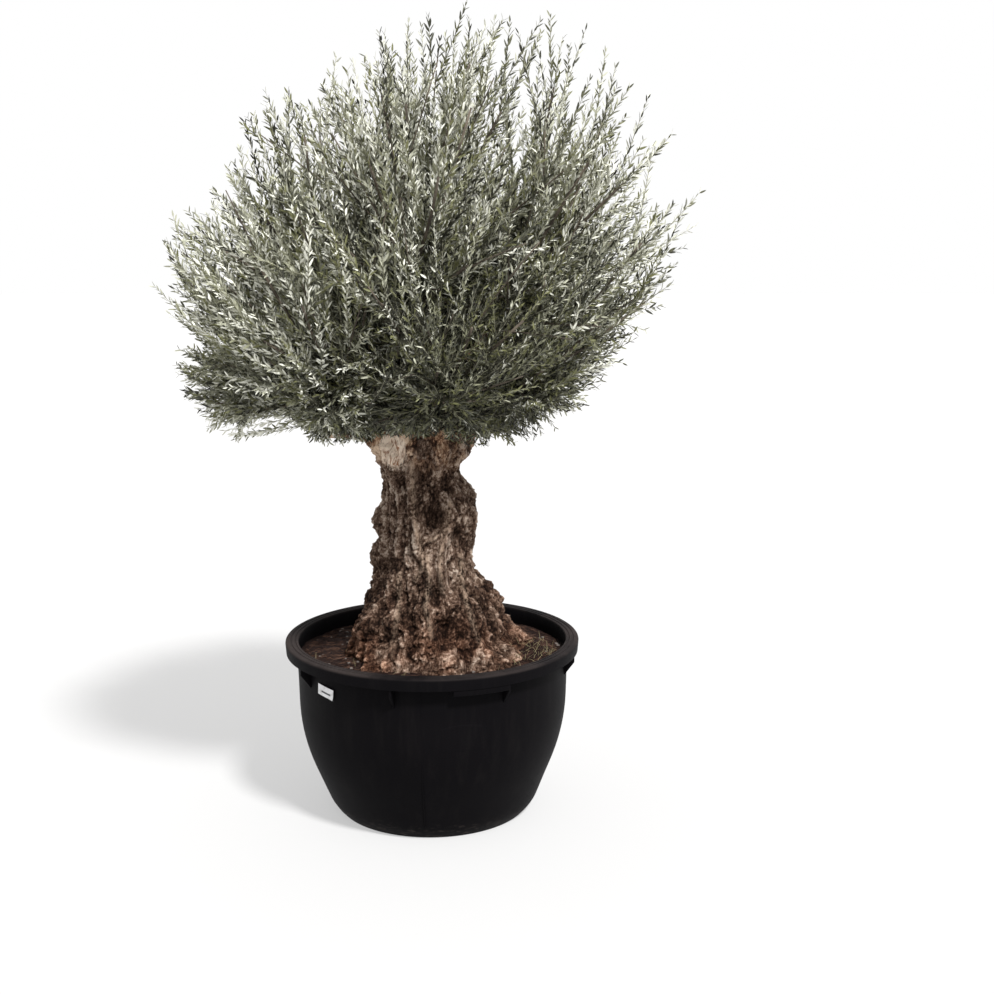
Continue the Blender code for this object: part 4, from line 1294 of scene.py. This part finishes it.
for index, (label, kind, axis) in enumerate(crown):
    others = [other for name, _, other in crown if name != label]
    grown = random.Random(MASS_SEED + index)
    fine_growth = random.Random(FINE_SEED + index)
    bough_length = BOUGH_LENGTH[kind]
    stem_start = HEAD + axis * (bough_length + GAP)
    stem_length = max(crown_reach(axis) * STEM_SHARE - bough_length, STEM_LEAST)
    is_clump = kind == "clump"
    arch = UP * CLUMP_ARCH if is_clump else Vector()
    stem_end = stem_start + axis * stem_length + arch
    add_branch(stem_start - axis * 0.03, stem_end, STEM_RADIUS, BRANCH_RADIUS, Vector())
    phase = grown.uniform(0, math.tau)
    low_root, high_root = BRANCH_ROOTS
    first_place, last_place = SIDE_SPRAY_PLACES
    mass_branches = []
    for number in range(BRANCHES):
        way, spread = fan_direction(axis, number, phase, others, bough_length)
        straightness = 1 - spread / FAN_ANGLE
        root = stem_start.lerp(stem_end, low_root + (high_root - low_root) * straightness)
        drawn_in = TIP_UNEVENNESS * (number % TIP_STEPS) / (TIP_STEPS - 1)
        tip = HEAD + way * crown_reach(way) * (1.0 - drawn_in)
        heading = (tip - root).normalized()
        branch_length = max((tip - root).length, SPRAY_LENGTH * BRANCH_AND_SPRAY_LEAST)
        branch_end = branch_tip(root + heading * (branch_length - SPRAY_LENGTH * TIP_SPRAY_SHARE))
        bow = Vector([fine_growth.uniform(-FINE_BOW, FINE_BOW) for _ in range(3)])
        mass_branches.append(add_branch(root, branch_end, BRANCH_RADIUS, TWIG_TIP_RADIUS, bow + arch))
        add_shoot(branch_end, heading, SPRAY_LENGTH, 0.0)
        for step in range(SIDE_SPRAYS):
            place = first_place + (last_place - first_place) * step / (SIDE_SPRAYS - 1)
            side = turned_side(heading, step * GOLDEN_ANGLE + number)
            lean = heading * SPRAY_FORWARD + side * grown.uniform(*SPRAY_SPREAD) + UP * SPRAY_LIFT
            size = grown.uniform(*SPRAY_SIZES)
            add_shoot(root.lerp(branch_end, place), lean, SPRAY_LENGTH * size, 0.1)
            grown.uniform(0, math.tau)  # the roll of the solids' blade, drawn to stay in step with them
    for number in range(FINE_BRANCHES):
        side = turned_side(axis, phase + (BRANCHES + number) * GOLDEN_ANGLE)
        spread = FINE_FAN * math.sqrt((number + 0.5) / FINE_BRANCHES)
        way = (axis * math.cos(spread) + side * math.sin(spread)).normalized()
        straightness = 1 - spread / FINE_FAN
        root = stem_start.lerp(stem_end, 0.85 * straightness)
        tip = HEAD + way * max(crown_reach(way) * fine_growth.uniform(*FINE_TIPS), 0.30)
        sag = Vector([fine_growth.uniform(-FINE_SAG, FINE_SAG) for _ in range(3)])
        radii = BRANCH_RADIUS * 0.7, TWIG_TIP_RADIUS * 0.5
        mass_branches.append(add_branch(root, branch_tip(tip), *radii, sag + arch))
    for points in mass_branches:
        add_leafy_shoots(points, fine_growth, is_clump)
    if kind in ("lower", "clump"):
        add_head_twigs(axis, bough_length, fine_growth, is_clump)

paths = np.array([[list(point) for point in points] for points, _, _ in branches])
shares = np.linspace(0.0, 1.0, paths.shape[1])[None]
starts = np.array([start for _, start, _ in branches])[:, None]
ends = np.array([end for _, _, end in branches])[:, None]
branch_verts, branch_faces = strand_arrays(paths, starts + (ends - starts) * shares, sides=6)
twig_bark = Finish("twig_bark")
dark, light = (0.045, 0.034, 0.024), (0.110, 0.088, 0.064)
color, tone = twig_bark.two_tone(14.0, dark, light, 3.0, edges=(0.35, 0.65))
twig_bark.paint(color, 0.8 + 0.1 * tone, height=twig_bark.noise(160.0), depth=0.0008)
labels = [f"foliage_{label}" for label, _, _ in crown]
dress(joined_mesh("crown_branches", branch_verts, branch_faces), twig_bark, labels)

shoot_paths = np.array([[list(point) for point in shoot] for shoot in shoots])
thickness = np.full((len(shoots), 3), SHOOT_RADIUS) * np.array([[1.0, 0.8, 0.3]])
shoot_verts, shoot_faces = strand_arrays(shoot_paths, thickness)
green_bark = Finish("shoot_bark")
color, tone = green_bark.two_tone(9.0, (0.110, 0.105, 0.065), (0.230, 0.225, 0.160))
green_bark.paint(color, 0.7 + 0.1 * tone)
dress(joined_mesh("crown_shoots", shoot_verts, shoot_faces), green_bark)

# ---- Leaves ----
# Narrow leathery leaves sit in opposite pairs along each shoot, each pair turned a quarter from the
# last. Sprays differ in colour: silvery, grey-green, olive or deep green, dealt out as painted light
# and shade, the palest where the crown is sunny and the darkest in its shade.

LEAF_SPACING = 0.0175
LEAF_LENGTH = (0.028, 0.046)
SHADE_LEAF = 0.80  # of that length, deep in the crown
LEAF_WIDTH = 0.220  # of its length
LEAF_ANGLE = (18.0, 46.0)
LEAF_ROLL = 45.0
# The outline and fold of one leaf: share of length, of half the width, and rise, of the length.
LEAF_POINTS = np.array(
    [
        (0.00, 0.0, 0.000),
        (0.32, 1.0, 0.030),
        (0.32, -1.0, 0.030),
        (0.72, 0.78, 0.020),
        (0.72, -0.78, 0.020),
        (1.00, 0.0, -0.020),
    ]
)
LEAF_FACES = np.array([(0, 1, 3), (0, 3, 5), (0, 5, 4), (0, 4, 2)])
# Name, colour, and weight in the sun, in the shade and at the crown's side and top tips of each spray.
SPRAYS = (
    ("silver", (0.700, 0.700, 0.610), 0.30, 0.01, 0.12),
    ("pale_sage", (0.370, 0.372, 0.285), 0.24, 0.06, 0.16),
    ("sage", (0.190, 0.192, 0.125), 0.17, 0.13, 0.22),
    ("olive", (0.130, 0.132, 0.058), 0.12, 0.22, 0.12),
    ("slate", (0.075, 0.077, 0.054), 0.11, 0.20, 0.24),
    ("dusk", (0.024, 0.0235, 0.0145), 0.06, 0.38, 0.14),
)
# Shadier and sunnier sides of the crown: their way from the head, spread, and loss of sun.
SHADY_SIDES = (
    (Vector((0.25, -0.71, 0.65)), math.radians(24.0), 0.37),
    (Vector((0.15, -0.97, 0.10)), math.radians(34.0), 0.50),
    (Vector((-0.96, -0.25, 0.05)), math.radians(32.0), -0.60),
    (Vector((0.80, -0.55, 0.25)), math.radians(28.0), 0.16),
)
# The sun on a shoot: more the higher it stands, less by a fixed share and in the creases.
SUN_RISE = 0.62
SUN_LOSS = 0.14
CREASE_SHADE = 0.25
SHADE_REACH = (0.25, 0.90)  # shares of the crown's reach, from full shade to full sun
TIP_REACH = (0.80, 0.98)
TIP_LEAF = (0.85, 0.75)  # from this share of the shoot on, leaves are this much of their size


def sun_and_tip(middle):
    """How sunny a shoot's place is, and how near the crown's side and top tips, each from 0 to 1."""
    spoke = Vector(middle) - HEAD
    out = spoke.normalized()
    open_share = spoke.length / crown_reach(out) + SUN_RISE * out.z - SUN_LOSS - CREASE_SHADE * crease(out)
    for side_way, spread, loss in SHADY_SIDES:
        open_share -= loss * math.exp(-((out.angle(side_way) / spread) ** 2))
    shady, sunny = SHADE_REACH
    tip_share = eased(spoke.length / foliage_edge(out), *TIP_REACH) * (1 - abs(out.y))
    return max(0.0, min(1.0, (open_share - shady) / (sunny - shady))), tip_share


def leaf_corners(root, middle, tip, open_share):
    """The corners of all the leaves of one shoot, in pairs that each turn a quarter from the last."""
    length = np.linalg.norm(tip - root)
    pairs = max(2, int(length / LEAF_SPACING))
    places = np.repeat((np.arange(pairs) + 0.6) / pairs, 2)
    share = np.clip(places + dice.uniform(-0.25, 0.25, pairs * 2) / pairs, 0.0, 1.0)[:, None]
    lower, upper = root + (middle - root) * share * 2, middle + (tip - middle) * (share * 2 - 1)
    anchor = np.where(share < 0.5, lower, upper)
    way = (tip - root) / length
    helper = np.array([0.0, 0.0, 1.0]) if abs(way[2]) < 0.8 else np.array([1.0, 0.0, 0.0])
    first = np.cross(way, helper)
    first /= np.linalg.norm(first)
    second = np.cross(way, first)
    turn = np.repeat(np.arange(pairs) * math.pi / 2 + dice.uniform(0, math.tau), 2)
    turn += np.tile([0.0, math.pi], pairs) + dice.normal(0.0, 0.3, pairs * 2)
    side = np.cos(turn)[:, None] * first + np.sin(turn)[:, None] * second
    angle = np.radians(dice.uniform(*LEAF_ANGLE, pairs * 2))[:, None]
    leaf_way = way * np.cos(angle) + side * np.sin(angle)
    across = np.cross(way, side)
    rise = np.cross(leaf_way, across)
    roll = np.radians(dice.normal(0.0, LEAF_ROLL, pairs * 2))[:, None]
    across, rise = across * np.cos(roll) + rise * np.sin(roll), rise * np.cos(roll) - across * np.sin(roll)
    tip_start, tip_size = TIP_LEAF
    shrink = np.where(share > tip_start, tip_size, 1.0) * (SHADE_LEAF + (1 - SHADE_LEAF) * open_share)
    size = (dice.uniform(*LEAF_LENGTH, pairs * 2)[:, None] * shrink)[:, None]
    along, half, fold = LEAF_POINTS.T[:, None, :, None]
    corners = leaf_way[:, None] * along + across[:, None] * half * LEAF_WIDTH / 2 + rise[:, None] * fold
    return anchor[:, None] + corners * size


dice = np.random.default_rng(11)
leaf_sets = [[] for _ in SPRAYS]
sun, shade_weights, tip_weights = np.array([weights for _, _, *weights in SPRAYS]).T
for shoot in shoots:
    root, middle, tip = (np.array(point) for point in shoot)
    open_share, tip_share = sun_and_tip(middle)
    corners = leaf_corners(root, middle, tip, open_share)
    # Painted light and shade: the pale sprays go to sunny shoots and the dark ones to shaded shoots.
    weights = sun * open_share + shade_weights * (1 - open_share)
    weights = weights * (1 - tip_share) + tip_weights * tip_share
    # Each half of a shoot's leaves, one from every pair, is dealt a colour of its own.
    for half, spray in enumerate(dice.choice(len(SPRAYS), 2, p=weights / weights.sum())):
        leaf_sets[spray].append(corners[half::2])

for (name, color, *_), leaves in zip(SPRAYS, leaf_sets):
    points = np.concatenate(leaves)
    faces = LEAF_FACES[None] + (np.arange(len(points)) * len(LEAF_POINTS))[:, None, None]
    finish = Finish(f"leaf_{name}")
    finish.paint(color, 0.48, Specular_IOR_Level=0.35)
    dress(joined_mesh(f"leaves_{name}", points, faces.reshape(-1, 3)), finish)
